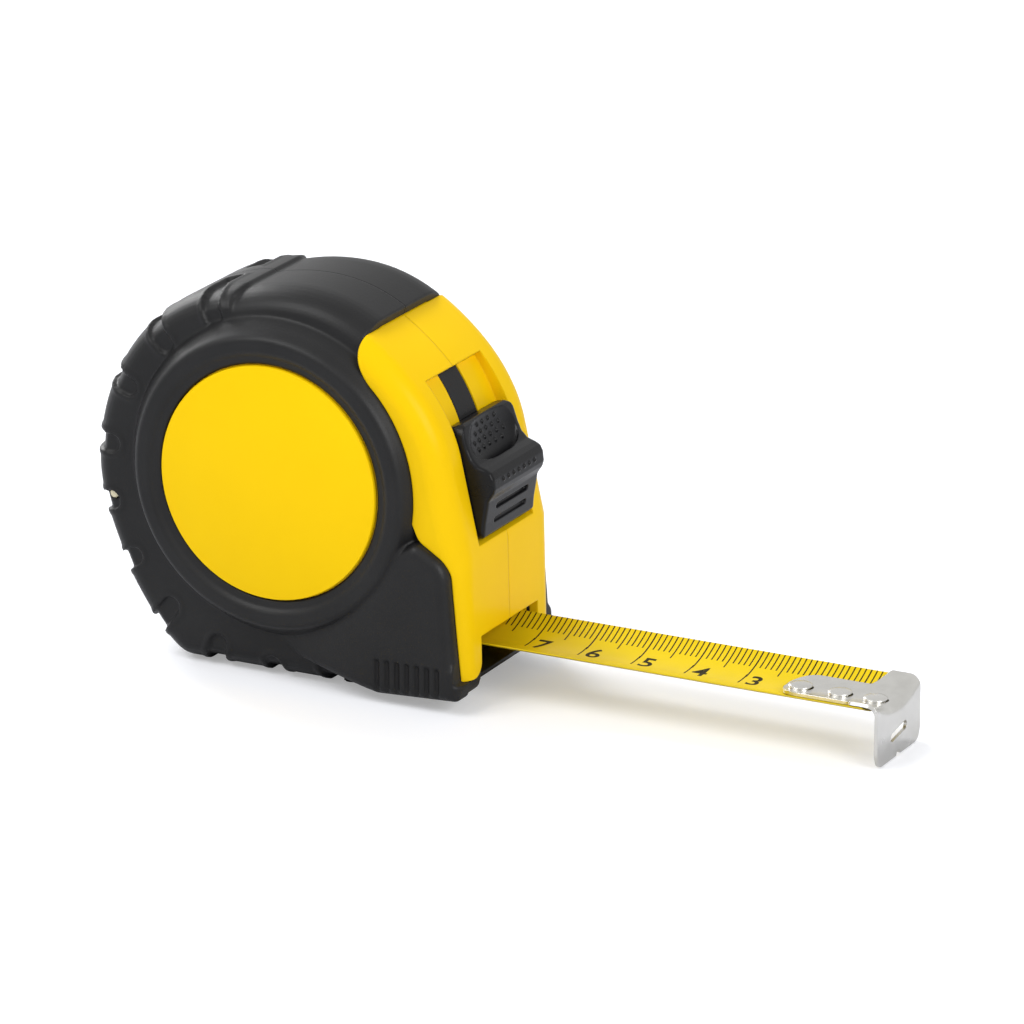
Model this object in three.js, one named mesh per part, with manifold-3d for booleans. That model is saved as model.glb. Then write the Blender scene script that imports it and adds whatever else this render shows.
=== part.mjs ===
// A pocket tape measure for 5 m of 19 mm steel blade: two case halves with rubber grips over them,
// a sprung reel, the curved blade with its end hook, and a thumb lock in the front recess.
// Millimetres, +Z up, +X the way the blade pulls out, -Y the side with the plain disc in view.
// The origin lies on the flat base below the reel axis.
import * as THREE from "three";
import { mergeVertices } from "three/addons/utils/BufferGeometryUtils.js";
import Module from "manifold-3d";

const wasm = await Module();
wasm.setup();

// Clearances
const gap = 0.3;              // between pieces that rest on each other
const sheetGap = 0.2;         // between the blade, the hook's tongue and the rivet heads
const runningGap = 0.5;       // beside the turning reel
const mouthGap = 0.9;         // beside the blade in the mouth
const overrun = 12;           // how far every cut runs past what it cuts

// Reel: the coiled blade's radius sets the size of the case
const coilRadius = 26.6;
const coilThickness = 4;
const drumWall = 1.8;
const flangeStep = 0.8;
const flangeThickness = 1;
const postRadius = 3;
const postSlotWidth = 0.8;
const hubWall = 2.1;
const springThickness = 0.5;
const springTurns = 7;
const springEndGap = 0.7;     // between the drum's sides and the spring's edges

const coilInner = coilRadius - coilThickness;
const drumOuter = coilInner - gap;
const drumInner = drumOuter - drumWall;
const flangeRadius = coilRadius - flangeStep;
const springInner = postRadius + sheetGap;

// Lock band and brake shoe, inside the chamber
const coilGap = 0.9;          // between the coil and the band
const bandThickness = 0.9;
const bandHalf = 5;
const bandFootAngle = -58;    // all angles are degrees about the reel axis, from +X
const bandTopAngle = 40;
const shoeThickness = 1.4;
const shoeInset = 5.5;        // from the blade's flat edge to the shoe's
const shoeFootAngle = -62;
const shoeTopAngle = -54;
const shoeRoomFootAngle = -64;
const shoeRoomTopAngle = -26;

const bandInner = coilRadius + coilGap;
const bandOuter = bandInner + bandThickness;
const shoeOuter = bandOuter + gap + shoeThickness;
const chamberRadius = bandOuter + gap;

// Case, seen from the side: walls and reaches outside the chamber
const baseWall = 7.7;
const crownWall = 4.4;
const frontWall = 8.3;
const backWall = 8.6;
const shellWall = 2;          // left between the chamber and the lock's recess
const crownEndAngle = 105;    // where the tread begins
const crownSag = 0.8;         // the crown is this much lower there than in front
const crownSagAngle = 65;     // where it starts to drop
const crownSink = 1.5;        // the yellow front is this much below the grip's crown
const crownSinkFootAngle = 10; // where it starts to sink
const crownSinkTopAngle = 55; // and where it has sunk
const rakeInset = 0.9;        // where the front turns into the crown's tangent
const rakeDrop = 9.5;         // drops are measured down from the reel axis
const backCentreShift = 5;    // the upper back is part of an ellipse, centred behind the reel
const backCentreDrop = 2.5;
const backStep = 1.1;         // from the crown's top down to the ellipse's
const heelInset = 6.5;        // from the rearmost point to where the back turns into the lower corner
const heelHeight = 12.5;
const heelLength = 11.8;      // from there to the flat base
const heelLeanShare = 0.5;
const flankPullShare = 0.333;
const heelPullShare = 1.6;
const heelTuckShare = 0.455;
const footLength = 18;        // front feet
const footLow = 1.7;
const footRise = 0.2;
const footBlockRise = 4;      // the feet's blocks reach this far above the column's foot
const footRamp = 6;           // from the flat base up to the feet

const reelHeight = chamberRadius + baseWall;
const crownRadius = chamberRadius + crownWall;
const frontReach = chamberRadius + frontWall;
const backReach = chamberRadius + backWall;
const heelReach = backReach - heelInset;
const baseRear = heelReach - heelLength;
const footStart = frontReach - footLength;
const baseFront = footStart - footRamp;

// Blade
const bladeHalf = 9.5;        // half the blade's flat width
const bladeThickness = 0.3;
const bladeCurve = 14;        // radius of its cross curve
const bladeDrop = 2.2;        // from the coil's lowest point down to the blade outside
const bladeFlatEnd = 2;       // where the blade starts to curve as it leaves the coil
const bladeCurving = 28;      // length in which it gets its full curve
const bladeOut = 72;          // from the case's front to the hook's face
const flatCurveShare = 0.03;  // what is left of the curve where the blade counts as flat
const bladeRows = 12;
const bladeCurvingShare = 0.75;
const bladeColumns = 8;

const bladeLow = reelHeight - coilRadius - bladeDrop;
const bladeCurved = bladeFlatEnd + bladeCurving;
const bladeRise = bladeCurve * (1 - Math.cos(bladeHalf / bladeCurve));
const springHalf = bladeHalf - springEndGap;
const shoeHalf = bladeHalf - shoeInset;

// End hook
const hookTravel = 0.8;       // how far the hook slides on its rivets
const hookThickness = 0.6;
const hookBend = 2;           // outer radius of its bend
const hookInset = 0.9;        // from the blade's flat edge to the hook's
const hookLow = 0.15;
const hookCorner = 2;
const hookRows = 24;
const acrossShares = [-1, -0.93, -0.8, -0.5, -0.25, 0, 0.25, 0.5, 0.8, 0.93, 1];
const tongueLength = 20.6;
const tongueHalf = 4.8;
const tongueTip = 3;          // length of its rounded tip
const tipShare = 0.1;         // how far into the rounding the tip is cut off
const flareStart = 7.5;       // from the hook's face back to where the tongue widens
const flareLength = 2.5;
const hookSlotLength = 6.5;
const hookSlotWidth = 1.6;
const hookSlotHeight = 4.2;
const hookSlotAngle = 8;
const notchRadius = 0.8;
const notchLengthShare = 1.1;
const rivetShares = [0.126, 0.476, 0.791];
const rivetHeadRadius = 2;
const rivetHeadHeight = 0.7;
const rivetDomeShares = [[1, 0], [0.85, 0.6], [0.5, 0.92], [0, 1]];
const rivetFootRadius = 1.6;
const rivetFootHeight = 0.5;
const rivetShankRadius = 0.8;

const hookFace = frontReach + bladeOut;
const hookHalf = bladeHalf - hookInset;
const hookTop = bladeLow + bladeThickness + sheetGap + hookThickness;
const tongueStart = hookFace - tongueLength;

// Case, across its thickness
const bodyWall = 3.3;         // from the chamber's side to the flat of the grip
const bodyEdge = 6.5;         // rounding of the grip's shoulder, along Y
const bodyInset = 4;          // the same rounding, inwards
const frontSideWall = 5.4;    // from the chamber's side to the side of the yellow front
const frontEdge = 4.2;
const panelEdge = 2.5;        // front side panels stand out by this, and are rounded over it
const panelInset = 1.8;
const gripWall = 1.6;
const edgeSteps = 3;          // facets in each rounding

const chamberHalf = bladeHalf + gap + flangeThickness + runningGap;
const bodyHalf = chamberHalf + bodyWall;
const frontHalf = chamberHalf + frontSideWall;
const panelHalf = frontHalf + panelEdge;

// Side disc and the ring round it
const discInset = 8.1;        // from the chamber's radius in to the disc's
const discThickness = 0.8;
const discSink = 0.4;         // below the ring's face
const lipWidth = 2.2;         // from the disc to the flat of the ring
const lipDrop = 0.5;
const ringFlatWidth = 2.4;
const ringKneeWidth = 1.8;
const ringKneeDrop = 2.4;
const ringRootWidth = 1.4;
const bossRim = 1.4;          // the shell's raised part reaches this far past the disc
const bossRimWall = 2.5;
const bossWall = 1.8;

const discRadius = chamberRadius - discInset;
const discFace = panelHalf - discSink;
const discSeat = discFace - discThickness - gap;
const lipRadius = discRadius + lipWidth;
const ringFlatRadius = lipRadius + ringFlatWidth;
const ringKneeRadius = ringFlatRadius + ringKneeWidth;
const ringRootRadius = ringKneeRadius + ringRootWidth;
const bossRadius = discRadius + bossRim;
const bossHollow = bossRadius - bossRimWall;
const bossInside = discSeat - bossWall;

// Tread
const pocketAngles = [115, 137, 158, 178, 195.5, 213, 231, 249, 267, 285];
const pocketWidth = 4;
const pocketDepth = 0.9;
const pocketSpread = 5.5;     // from the first pocket's inner end out to the last ones'
const pocketSpreadCount = 4;  // pockets over which it does that
const treadSpineHalf = 3.2;   // plain band between the pockets of the two sides
const treadFootAngle = 290;   // where the lugs end under the base
const ribCount = 6;
const ribPitch = 1.9;
const ribWidth = 0.7;
const ribDepth = 0.6;
const ribInset = 2.4;
const ribHeight = 4.6;

// Yellow window in the grip: insets from the case's front, drops from the reel axis
const windowTopAngle = 60;
const windowCornerRadius = 3;
const windowCornerAngle = 7.2;
const cornerShare = 0.4;
const windowFootAngle = -8;
const columnDrop = 0.2;       // lower end of the yellow column, below the mouth's floor
const columnInset = 1.8;
const columnLean = 1.9;
const stepLength = 1.4;
const stepDrop = 1.9;
const jogLength = 3.6;
const jogDrop = 2.4;
const jogTopDrop = 7.9;
const panelStartAngle = -20;  // the side panel's rear edge follows the ring between these
const panelEndAngle = -62;

// Mouth, chin and thumb lock
const channelGap = 0.6;       // above the hook's tongue
const channelRoom = 1.9;      // below the blade
const channelLead = 4;        // the mouth's block starts this far behind the reel axis
const chinInset = 2;          // from the rear of the feet to the open notch between them
const chinThickness = 0.8;
const chinFrontInset = 1;
const recessTopAngle = 37;
const recessFootAngle = -13;
const recessSide = 0.4;       // beside the blade's width
const slotHalf = 3.4;
const slotFootAngle = -9.5;
const buttonTopAngle = 21;
const buttonFootAngle = -12.3;
const buttonSideGap = 0.4;
const buttonEdge = 0.8;
const buttonInset = 0.4;
const buttonHeight = 7.4;     // of its ridge, above the button's underside
const buttonProfileShares = [
  [0, 0.36], [0.215, 0.42], [0.34, 0.53], [0.4, 0.93], [0.45, 0.99], [0.55, 1],
  [0.6, 0.92], [0.64, 0.85], [0.72, 0.8], [0.85, 0.78], [0.954, 0.8], [1, 0.76],
];
const grooveCount = 2;
const grooveWidth = 0.9;
const grooveDepth = 0.7;
const grooveEndInset = 3.3;
const groovePitchAngle = 3.4;
const grooveFirstAngle = -5.6;
const grooveHeightShare = 0.78;
const stemTopAngle = 18;
const stemFootAngle = -8;
const stripTopAngle = 40;     // the button's strip fills the slot up to here
const tunnelTopAngle = 57;    // and slides up to here below the crown

const channelTop = hookTop + bladeRise + channelGap;
const channelFloor = bladeLow - channelRoom;
const channelHalf = bladeHalf + mouthGap;
const columnFoot = channelFloor - columnDrop;
const chinStart = footStart + chinInset;
const recessHalf = bladeHalf + recessSide;
const recessFloor = chamberRadius + shellWall;
const buttonHalf = recessHalf - buttonSideGap;

// Fasteners and rear strap pin
const screwHeadRadius = 2.1;
const screwHeadHeight = 1.4;
const screwShankRadius = 1.1;
const screwLength = 19;
const screwSink = 3.4;        // from the flat of the grip down to the counterbores' floor
const rearScrewAngles = [223.5, 147.7];
const rearScrewWalls = [6.2, 2.6]; // from the chamber out to the screws' axes
const frontScrewInset = 6.4;
const frontScrewDrop = 15.5;
const crossLongShare = 0.6;
const crossThinShare = 0.14;
const crossDeepShare = 0.5;
const pinRadius = 0.8;
const pinInset = 4.7;         // from the rearmost point of the tread
const pinDrop = 8.7;
const pinEndInset = 0.2;
const strapHalf = 3.5;
const strapRoom = 3;

const screwSeat = bodyHalf - screwSink;
const pinX = pinInset - backReach;
const pinHeight = reelHeight - pinDrop;
const pinHalf = bodyHalf - pinEndInset;

// Belt clip
const clipHalf = 7.5;
const clipThickness = 0.9;
const clipGap = 4.4;
const clipBendInset = 0.6;    // from the disc's top to the bend
const clipDrop = 10;          // mounting leg below the reel axis
const clipArmInset = 2.6;     // from the disc's foot to the arm's flare
const clipFlare = 1.6;
const clipFlareDrop = 3.4;
const clipScrewHeadRadius = 3;
const clipScrewHeadHeight = 1.2;
const clipScrewShankRadius = 1.5;
const clipScrewDepth = 10.8;  // from the disc's face to the clip screw's end

const clipRise = discRadius - clipBendInset;
const clipArmDrop = discRadius - clipArmInset;
const clipScrewEnd = discFace - clipScrewDepth;

// Facets
const roundSteps = 36;
const smallSteps = 12;
const arcSteps = 12;
const longArcSteps = 24;
const shortArcSteps = 8;
const bendSteps = 5;
const cornerSteps = 3;
const slotSteps = 5;
const pocketSteps = 3;

const turn = Math.PI / 180;

const yellowShell = finish(0xf3c81e, 0.32, 0);
const yellowDisc = finish(0xfcd105, 0.4, 0);
const blackRubber = finish(0x2b2b2c, 0.62, 0);
const blackPlastic = finish(0x242426, 0.5, 0);
const whitePlastic = finish(0xe6e1cf, 0.5, 0);
const bladePaint = finish(0xf0c818, 0.35, 0.1);
const brightSteel = finish(0xc8c6c3, 0.28, 1);
const springSteel = finish(0x6c6f76, 0.35, 1);

function finish(color, roughness, metalness) {
  return new THREE.MeshStandardMaterial({ color, roughness, metalness });
}

// Points and outlines in the X-Z plane

function at(x, z) {
  return new THREE.Vector2(x, z);
}

function polar(radius, angle) {
  return at(radius * Math.cos(angle * turn), reelHeight + radius * Math.sin(angle * turn));
}

function arc(radius, from, to, steps) {
  return Array.from({ length: steps + 1 }, (_, i) => polar(radius, from + ((to - from) * i) / steps));
}

function bend(start, control, controlEnd, end, steps) {
  return new THREE.CubicBezierCurve(start, control, controlEnd, end).getPoints(steps);
}

// Moves a closed outline along its normals, outwards for a positive distance.
function offset(points, distance) {
  const side = Math.sign(THREE.ShapeUtils.area(points));
  return points.map((point, i) => {
    const before = points.at(i - 1);
    const after = points[(i + 1) % points.length];
    const into = point.clone().sub(before).normalize();
    const out = after.clone().sub(point).normalize();
    const normal = at(into.y + out.y, -into.x - out.x).normalize();
    const reach = (side * distance) / (normal.x * into.y - normal.y * into.x);
    return point.clone().addScaledVector(normal, reach);
  });
}

function sector(inner, outer, from, to, steps = arcSteps) {
  return [...arc(outer, from, to, steps), ...arc(inner, to, from, steps)];
}

function stadium(length, width) {
  const run = (length - width) / 2;
  const shape = new THREE.Shape();
  shape.absarc(run, 0, width / 2, -Math.PI / 2, Math.PI / 2);
  shape.absarc(-run, 0, width / 2, Math.PI / 2, Math.PI * 1.5);
  return shape;
}

// Solids

function solid(geometry) {
  const bare = geometry.clone();
  bare.deleteAttribute("normal");
  bare.deleteAttribute("uv");
  const merged = mergeVertices(bare);
  const p = merged.attributes.position;
  const faces = [];
  let volume = 0;
  const corner = [0, 1, 2].map(() => new THREE.Vector3());
  for (let i = 0; i < merged.index.count; i += 3) {
    const ids = [0, 1, 2].map((k) => merged.index.getX(i + k));
    if (new Set(ids).size < 3) continue;
    ids.forEach((id, k) => corner[k].fromBufferAttribute(p, id));
    volume += corner[0].dot(corner[1].clone().cross(corner[2]));
    faces.push(ids);
  }
  const triVerts = new Uint32Array(faces.flatMap((ids) => (volume < 0 ? ids.toReversed() : ids)));
  const vertProperties = new Float32Array(p.array);
  return new wasm.Manifold(new wasm.Mesh({ numProp: 3, vertProperties, triVerts }));
}

// An outline in X and Z, made solid between two places along Y.
function slab(points, from, to) {
  const shape = points instanceof THREE.Shape ? points : new THREE.Shape(points);
  const depth = to - from;
  const geometry = new THREE.ExtrudeGeometry(shape, { depth, bevelEnabled: false });
  return solid(geometry.rotateX(Math.PI / 2).translate(0, to, 0));
}

// The same, centred on Y = 0, with rounded rims.
function roundedSlab(points, half, edge, inset) {
  const geometry = new THREE.ExtrudeGeometry(new THREE.Shape(points), {
    depth: 2 * (half - edge),
    bevelThickness: edge,
    bevelSize: inset,
    bevelOffset: -inset,
    bevelSegments: edgeSteps,
  });
  return solid(geometry.rotateX(Math.PI / 2).translate(0, half - edge, 0));
}

// An outline of radius and Y, turned about the reel axis or about a parallel to it.
function turned(outline, x = 0, z = reelHeight, steps = roundSteps) {
  const points = outline.map(([radius, y]) => new THREE.Vector2(radius, y));
  return solid(new THREE.LatheGeometry([...points, points[0].clone()], steps).translate(x, 0, z));
}

function rod(radius, from, to, x = 0, z = reelHeight, steps = smallSteps) {
  const geometry = new THREE.CylinderGeometry(radius, radius, to - from, steps);
  return solid(geometry.translate(x, (from + to) / 2, z));
}

function block(x0, x1, y0, y1, z0, z1) {
  const geometry = new THREE.BoxGeometry(x1 - x0, y1 - y0, z1 - z0);
  return solid(geometry.translate((x0 + x1) / 2, (y0 + y1) / 2, (z0 + z1) / 2));
}

function join(first, ...others) {
  return others.reduce((whole, other) => whole.add(other), first);
}

function cut(body, ...cutters) {
  return cutters.reduce((whole, cutter) => whole.subtract(cutter), body);
}

// What lies on the near side (-1) or the far side (+1) of the middle seam.
function halfSpace(side) {
  const reach = hookFace + overrun;
  const from = side < 0 ? -reach : 0;
  return block(-reach, reach, from, from + reach, -reach, reach);
}

// Case outlines

function backPoints() {
  const centreZ = reelHeight - backCentreDrop;
  const across = backReach - backCentreShift;
  const up = crownRadius - backStep + backCentreDrop;
  const start = Math.acos((crownRadius * Math.cos(crownEndAngle * turn) + backCentreShift) / across);
  const upper = Array.from({ length: shortArcSteps + 1 }, (_, i) => {
    const angle = start + ((Math.PI - start) * i) / shortArcSteps;
    return at(-backCentreShift + across * Math.cos(angle), centreZ + up * Math.sin(angle));
  });
  const rearmost = at(-backReach, centreZ);
  const heel = at(-heelReach, heelHeight);
  const lean = (backReach - heelReach) * heelLeanShare;
  const flank = bend(
    rearmost,
    at(-backReach, THREE.MathUtils.lerp(centreZ, heelHeight, flankPullShare)),
    at(-heelReach - lean, heelHeight * heelPullShare),
    heel,
    bendSteps,
  );
  const corner = bend(
    heel,
    at(-heelReach + lean, heelHeight * heelTuckShare),
    at(-baseRear - 2 * lean, 0),
    at(-baseRear, 0),
    bendSteps,
  );
  return [...upper, ...flank.slice(1), ...corner.slice(1), at(baseFront, 0)];
}

function frontPoints() {
  const corner = at(frontReach - rakeInset, -rakeDrop);
  const tangent = (corner.angle() + Math.acos(crownRadius / corner.length())) / turn;
  return [
    ...footPoints(),
    at(frontReach - rakeInset, reelHeight - rakeDrop),
    ...arc(crownRadius, tangent % 360, crownSagAngle, shortArcSteps),
    ...Array.from({ length: bendSteps }, (_, i) => crownRear((i + 1) / bendSteps)),
  ];
}

// The crown behind its highest point, where it drops a little towards the tread.
function crownRear(share) {
  const angle = THREE.MathUtils.lerp(crownSagAngle, crownEndAngle, share);
  return polar(crownRadius - crownSag * THREE.MathUtils.smoothstep(share, 0, 1), angle);
}

// The same crown on the yellow front, which sinks below the grip towards the top.
function sunk(point) {
  const out = point.clone().sub(at(0, reelHeight));
  const angle = Math.atan2(out.y, out.x) / turn;
  const share = THREE.MathUtils.smoothstep(angle, crownSinkFootAngle, crownSinkTopAngle);
  return out.setLength(out.length() - crownSink * share).add(at(0, reelHeight));
}

function footPoints() {
  return [at(footStart, footLow), at(frontReach, footLow + footRise)];
}

// The whole side view without the lugs.
function caseOutline() {
  const lugs = [...backPoints(), polar(crownRadius / 2, treadFootAngle)];
  const back = offset(lugs, -pocketDepth).slice(1, backPoints().length);
  return [...frontPoints(), ...back];
}

function windowOutline() {
  const reach = crownRadius + overrun;
  const arcEnd = windowTopAngle - windowCornerAngle;
  const corner = bend(
    polar(ringKneeRadius, arcEnd),
    polar(ringKneeRadius, windowTopAngle - windowCornerAngle * cornerShare),
    polar(ringKneeRadius + windowCornerRadius * cornerShare, windowTopAngle),
    polar(ringKneeRadius + windowCornerRadius, windowTopAngle),
    cornerSteps,
  );
  return [
    ...windowEdge(),
    ...arc(ringKneeRadius, windowFootAngle, arcEnd, arcSteps).slice(1, -1),
    ...corner,
    polar(reach, windowTopAngle),
    at(reach, reelHeight + reach),
    at(reach, columnFoot),
  ];
}

// The window's lower edge, from the column's foot up to the ring.
function windowEdge() {
  const foot = frontReach - columnInset;
  const top = foot - columnLean;
  const jogTop = reelHeight - jogTopDrop;
  return [
    at(foot, columnFoot),
    at(top, jogTop - jogDrop - stepDrop),
    at(top - stepLength, jogTop - jogDrop),
    at(top - stepLength - jogLength, jogTop),
    polar(ringKneeRadius, windowFootAngle),
  ];
}

function panelOutline() {
  const rear = arc(ringRootRadius, panelStartAngle, panelEndAngle, shortArcSteps);
  return [...footPoints(), ...windowEdge().slice(0, 4), ...rear];
}

// Shell: the yellow half under the grip. grow widens it to the hole that the grip needs.

function shellBoss(grow) {
  const profile = [
    [0, 0], [0, discSeat + grow], [bossRadius + grow, discSeat + grow],
    [ringFlatRadius, panelHalf - panelEdge + grow],
    [ringKneeRadius, bodyHalf - gripWall + grow], [ringKneeRadius, 0],
  ];
  return join(turned(profile), turned(profile.map(([radius, y]) => [radius, -y])));
}

function shellCore(grow) {
  const under = gripWall + gap - grow;
  const outline = offset(caseOutline(), -under);
  const core = roundedSlab(outline, bodyHalf - under, bodyEdge - under, bodyInset - under);
  const side = slab(offset(panelOutline(), -under), -frontHalf - grow, frontHalf + grow);
  return join(core, side, shellBoss(grow));
}

function shellWhole() {
  const outline = [at(0, -overrun), at(frontReach, -overrun), ...frontPoints().slice(2).map(sunk)];
  const front = roundedSlab(outline, frontHalf, frontEdge, frontEdge);
  const window = slab(offset(windowOutline(), -gap), -frontHalf - overrun, frontHalf + overrun);
  return join(shellCore(0), front.intersect(window));
}

function caseHollow() {
  const chamber = turned([
    [0, -bossInside], [bossHollow, -bossInside], [bossHollow, -chamberHalf], [chamberRadius, -chamberHalf],
    [chamberRadius, chamberHalf], [bossHollow, chamberHalf], [bossHollow, bossInside], [0, bossInside],
  ]);
  const shoeRoom = sector(bandInner, shoeOuter + gap, shoeRoomFootAngle, shoeRoomTopAngle);
  return join(chamber, mouth(), slab(shoeRoom, -shoeHalf - gap, shoeHalf + gap));
}

function mouth() {
  return block(-channelLead, frontReach + overrun, -channelHalf, channelHalf, channelFloor, channelTop);
}

function lockRecess() {
  const reach = crownRadius + overrun;
  const pocket = slab(sector(recessFloor, reach, recessFootAngle, recessTopAngle), -recessHalf, recessHalf);
  const slot = slab(sector(bandInner, reach, slotFootAngle, recessTopAngle), -slotHalf, slotHalf);
  const roof = recessFloor + gap;
  const tunnel = slab(sector(bandInner, roof, slotFootAngle, tunnelTopAngle), -slotHalf, slotHalf);
  return join(pocket, slot, tunnel);
}

// The open notch between the two front feet, below the mouth.
function chinNotch() {
  return block(chinStart, frontReach + overrun, -channelHalf, channelHalf, -overrun, channelFloor);
}

function strapNotch() {
  const low = pinHeight - strapRoom;
  const high = pinHeight + strapRoom;
  return block(-backReach - overrun, pinX + strapRoom, -strapHalf, strapHalf, low, high);
}

function pinHole() {
  return rod(pinRadius + gap, -pinHalf - gap, pinHalf + gap, pinX, pinHeight);
}

// The tube inside one half that holds the post's end.
function shellHub(side) {
  const inner = postRadius + gap;
  const outer = inner + hubWall;
  const from = side * chamberHalf;
  const to = side * (bossInside + bossWall / 2);
  return turned([[inner, from], [outer, from], [outer, to], [inner, to]], 0, reelHeight, 2 * smallSteps);
}

function shellHalf(side) {
  const body = join(cut(shellWhole(), caseHollow()), shellHub(side));
  const half = cut(body.intersect(halfSpace(side)), lockRecess(), chinNotch(), strapNotch(), pinHole());
  const hole = screwShankRadius + gap;
  const bottom = screwSeat + gap - screwLength - gap;
  if (side < 0) {
    return cut(half, ...screwPlaces().map((place) => rod(hole, bottom, overrun, place.x, place.y)));
  }
  const out = frontHalf + overrun;
  return cut(
    half,
    ...screwPlaces().map((place) => rod(hole, -overrun, out, place.x, place.y)),
    ...screwPlaces().map((place) => rod(screwHeadRadius + gap, screwSeat, out, place.x, place.y)),
    rod(clipScrewShankRadius + gap, 0, discFace + overrun),
  );
}

// Grip: the rubber over one half

function gripRing() {
  const profile = [
    [discRadius + gap, 0], [discRadius + gap, panelHalf - lipDrop],
    [lipRadius, panelHalf], [ringFlatRadius, panelHalf],
    [ringKneeRadius, panelHalf - ringKneeDrop], [ringRootRadius, bodyHalf - gap], [ringRootRadius, 0],
  ];
  return join(turned(profile), turned(profile.map(([radius, y]) => [radius, -y])));
}

function treadLugs() {
  const inner = arc(ringFlatRadius, treadFootAngle, crownEndAngle, arcSteps);
  const lugs = roundedSlab([...backPoints(), ...inner], bodyHalf, bodyEdge, bodyInset);
  return cut(lugs, ...pocketAngles.flatMap(treadPocket));
}

// One pocket on each side of the spine, with a round inner end.
function treadPocket(angle, index) {
  const inner = ringKneeRadius + pocketSpread * Math.min(1, index / pocketSpreadCount);
  const reach = backReach + overrun;
  const out = bodyHalf + overrun;
  const shape = new THREE.Shape();
  shape.moveTo(reach, -pocketWidth / 2);
  shape.lineTo(reach, pocketWidth / 2);
  shape.absarc(inner + pocketWidth / 2, 0, pocketWidth / 2, Math.PI / 2, Math.PI * 1.5);
  return [-1, 1].map((side) => {
    const from = side < 0 ? -out : treadSpineHalf;
    const to = side < 0 ? -treadSpineHalf : out;
    const depth = to - from;
    const options = { depth, bevelEnabled: false, curveSegments: pocketSteps };
    const geometry = new THREE.ExtrudeGeometry(shape, options);
    geometry.rotateX(Math.PI / 2).translate(0, to, 0);
    return solid(geometry.rotateY(-angle * turn).translate(0, 0, reelHeight));
  });
}

function footGrooves() {
  return Array.from({ length: ribCount }, (_, i) => {
    const x = footStart + ribInset + ribPitch * i;
    return [-1, 1].map((side) => {
      const face = panelHalf - ribDepth;
      const from = side < 0 ? -panelHalf - overrun : face;
      const to = side < 0 ? -face : panelHalf + overrun;
      return block(x, x + ribWidth, from, to, -overrun, footLow + ribHeight);
    });
  }).flat();
}

function gripHalf(side) {
  const out = panelHalf + overrun;
  const body = roundedSlab(caseOutline(), bodyHalf, bodyEdge, bodyInset);
  const panel = roundedSlab(panelOutline(), panelHalf, panelEdge, panelInset);
  const footTop = columnFoot + footBlockRise;
  const footOutline = [...footPoints(), at(frontReach, footTop), at(footStart, footTop)];
  const foot = roundedSlab(footOutline, panelHalf, panelEdge, panelInset);
  const outside = join(body, treadLugs(), gripRing(), cut(join(panel, foot), ...footGrooves()));
  const window = slab(windowOutline(), -out, out);
  const bore = rod(discRadius + gap, -out, out, 0, reelHeight, roundSteps);
  const half = outside.intersect(halfSpace(side));
  const skin = cut(half, window, shellCore(gap), bore, chinNotch(), mouth(), strapNotch(), pinHole());
  if (side < 0) return skin;
  return cut(skin, ...screwPlaces().map((place) => rod(screwHeadRadius + gap, 0, out, place.x, place.y)));
}

// Side discs, chin and pin

function sideDisc(side) {
  const back = side * (discFace - discThickness);
  const face = side * discFace;
  const disc = turned([[0, back], [discRadius, back], [discRadius, face], [0, face]]);
  return side < 0 ? disc : cut(disc, rod(clipScrewShankRadius + gap, 0, discFace + overrun));
}

function chinPlate() {
  const low = channelFloor - gap / 2 - chinThickness;
  const end = frontReach - chinFrontInset;
  return block(chinStart + gap, end, -channelHalf + gap, channelHalf - gap, low, low + chinThickness);
}

function strapPin() {
  return rod(pinRadius, -pinHalf, pinHalf, pinX, pinHeight);
}

// Thumb lock

function thumbButton() {
  const under = recessFloor + gap;
  const outer = buttonProfileShares.map(([along, high]) =>
    polar(under + buttonHeight * high, buttonTopAngle + (buttonFootAngle - buttonTopAngle) * along));
  const inner = arc(under, buttonTopAngle, buttonFootAngle, shortArcSteps);
  const outline = [...inner, ...outer.toReversed()];
  const body = roundedSlab(outline, buttonHalf, buttonEdge, buttonInset);
  const stemHalf = slotHalf - gap;
  const stemShape = sector(bandOuter + gap, under + buttonEdge, stemFootAngle, stemTopAngle, shortArcSteps);
  const stem = slab(stemShape, -stemHalf, stemHalf);
  const stripShape = sector(bandOuter + gap, recessFloor, stemFootAngle, stripTopAngle, longArcSteps);
  const strip = slab(stripShape, -stemHalf, stemHalf);
  const grooves = Array.from({ length: grooveCount }, (_, i) => {
    const angle = grooveFirstAngle - groovePitchAngle * i;
    const high = under + buttonHeight * grooveHeightShare - grooveDepth;
    const half = grooveWidth / 2 / high / turn;
    const end = buttonHalf - grooveEndInset;
    return slab(sector(high, high + buttonHeight, angle - half, angle + half, cornerSteps), -end, end);
  });
  return cut(join(body, stem, strip), ...grooves);
}

function lockBand() {
  const shape = sector(bandInner, bandOuter, bandFootAngle, bandTopAngle, longArcSteps);
  return slab(shape, -bandHalf, bandHalf);
}

function brakeShoe() {
  const shape = sector(bandOuter + gap, shoeOuter, shoeFootAngle, shoeTopAngle, cornerSteps);
  return slab(shape, -shoeHalf, shoeHalf);
}

// Reel

function centrePost() {
  const end = bossInside - gap;
  const slotEnd = springHalf + gap;
  const slotSide = postSlotWidth / 2;
  const slot = block(-slotSide, slotSide, -slotEnd, slotEnd, reelHeight, reelHeight + overrun);
  const bore = rod(clipScrewShankRadius + gap, clipScrewEnd - gap, end + overrun);
  return cut(rod(postRadius, -end, end, 0, reelHeight, 2 * smallSteps), slot, bore);
}

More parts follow.
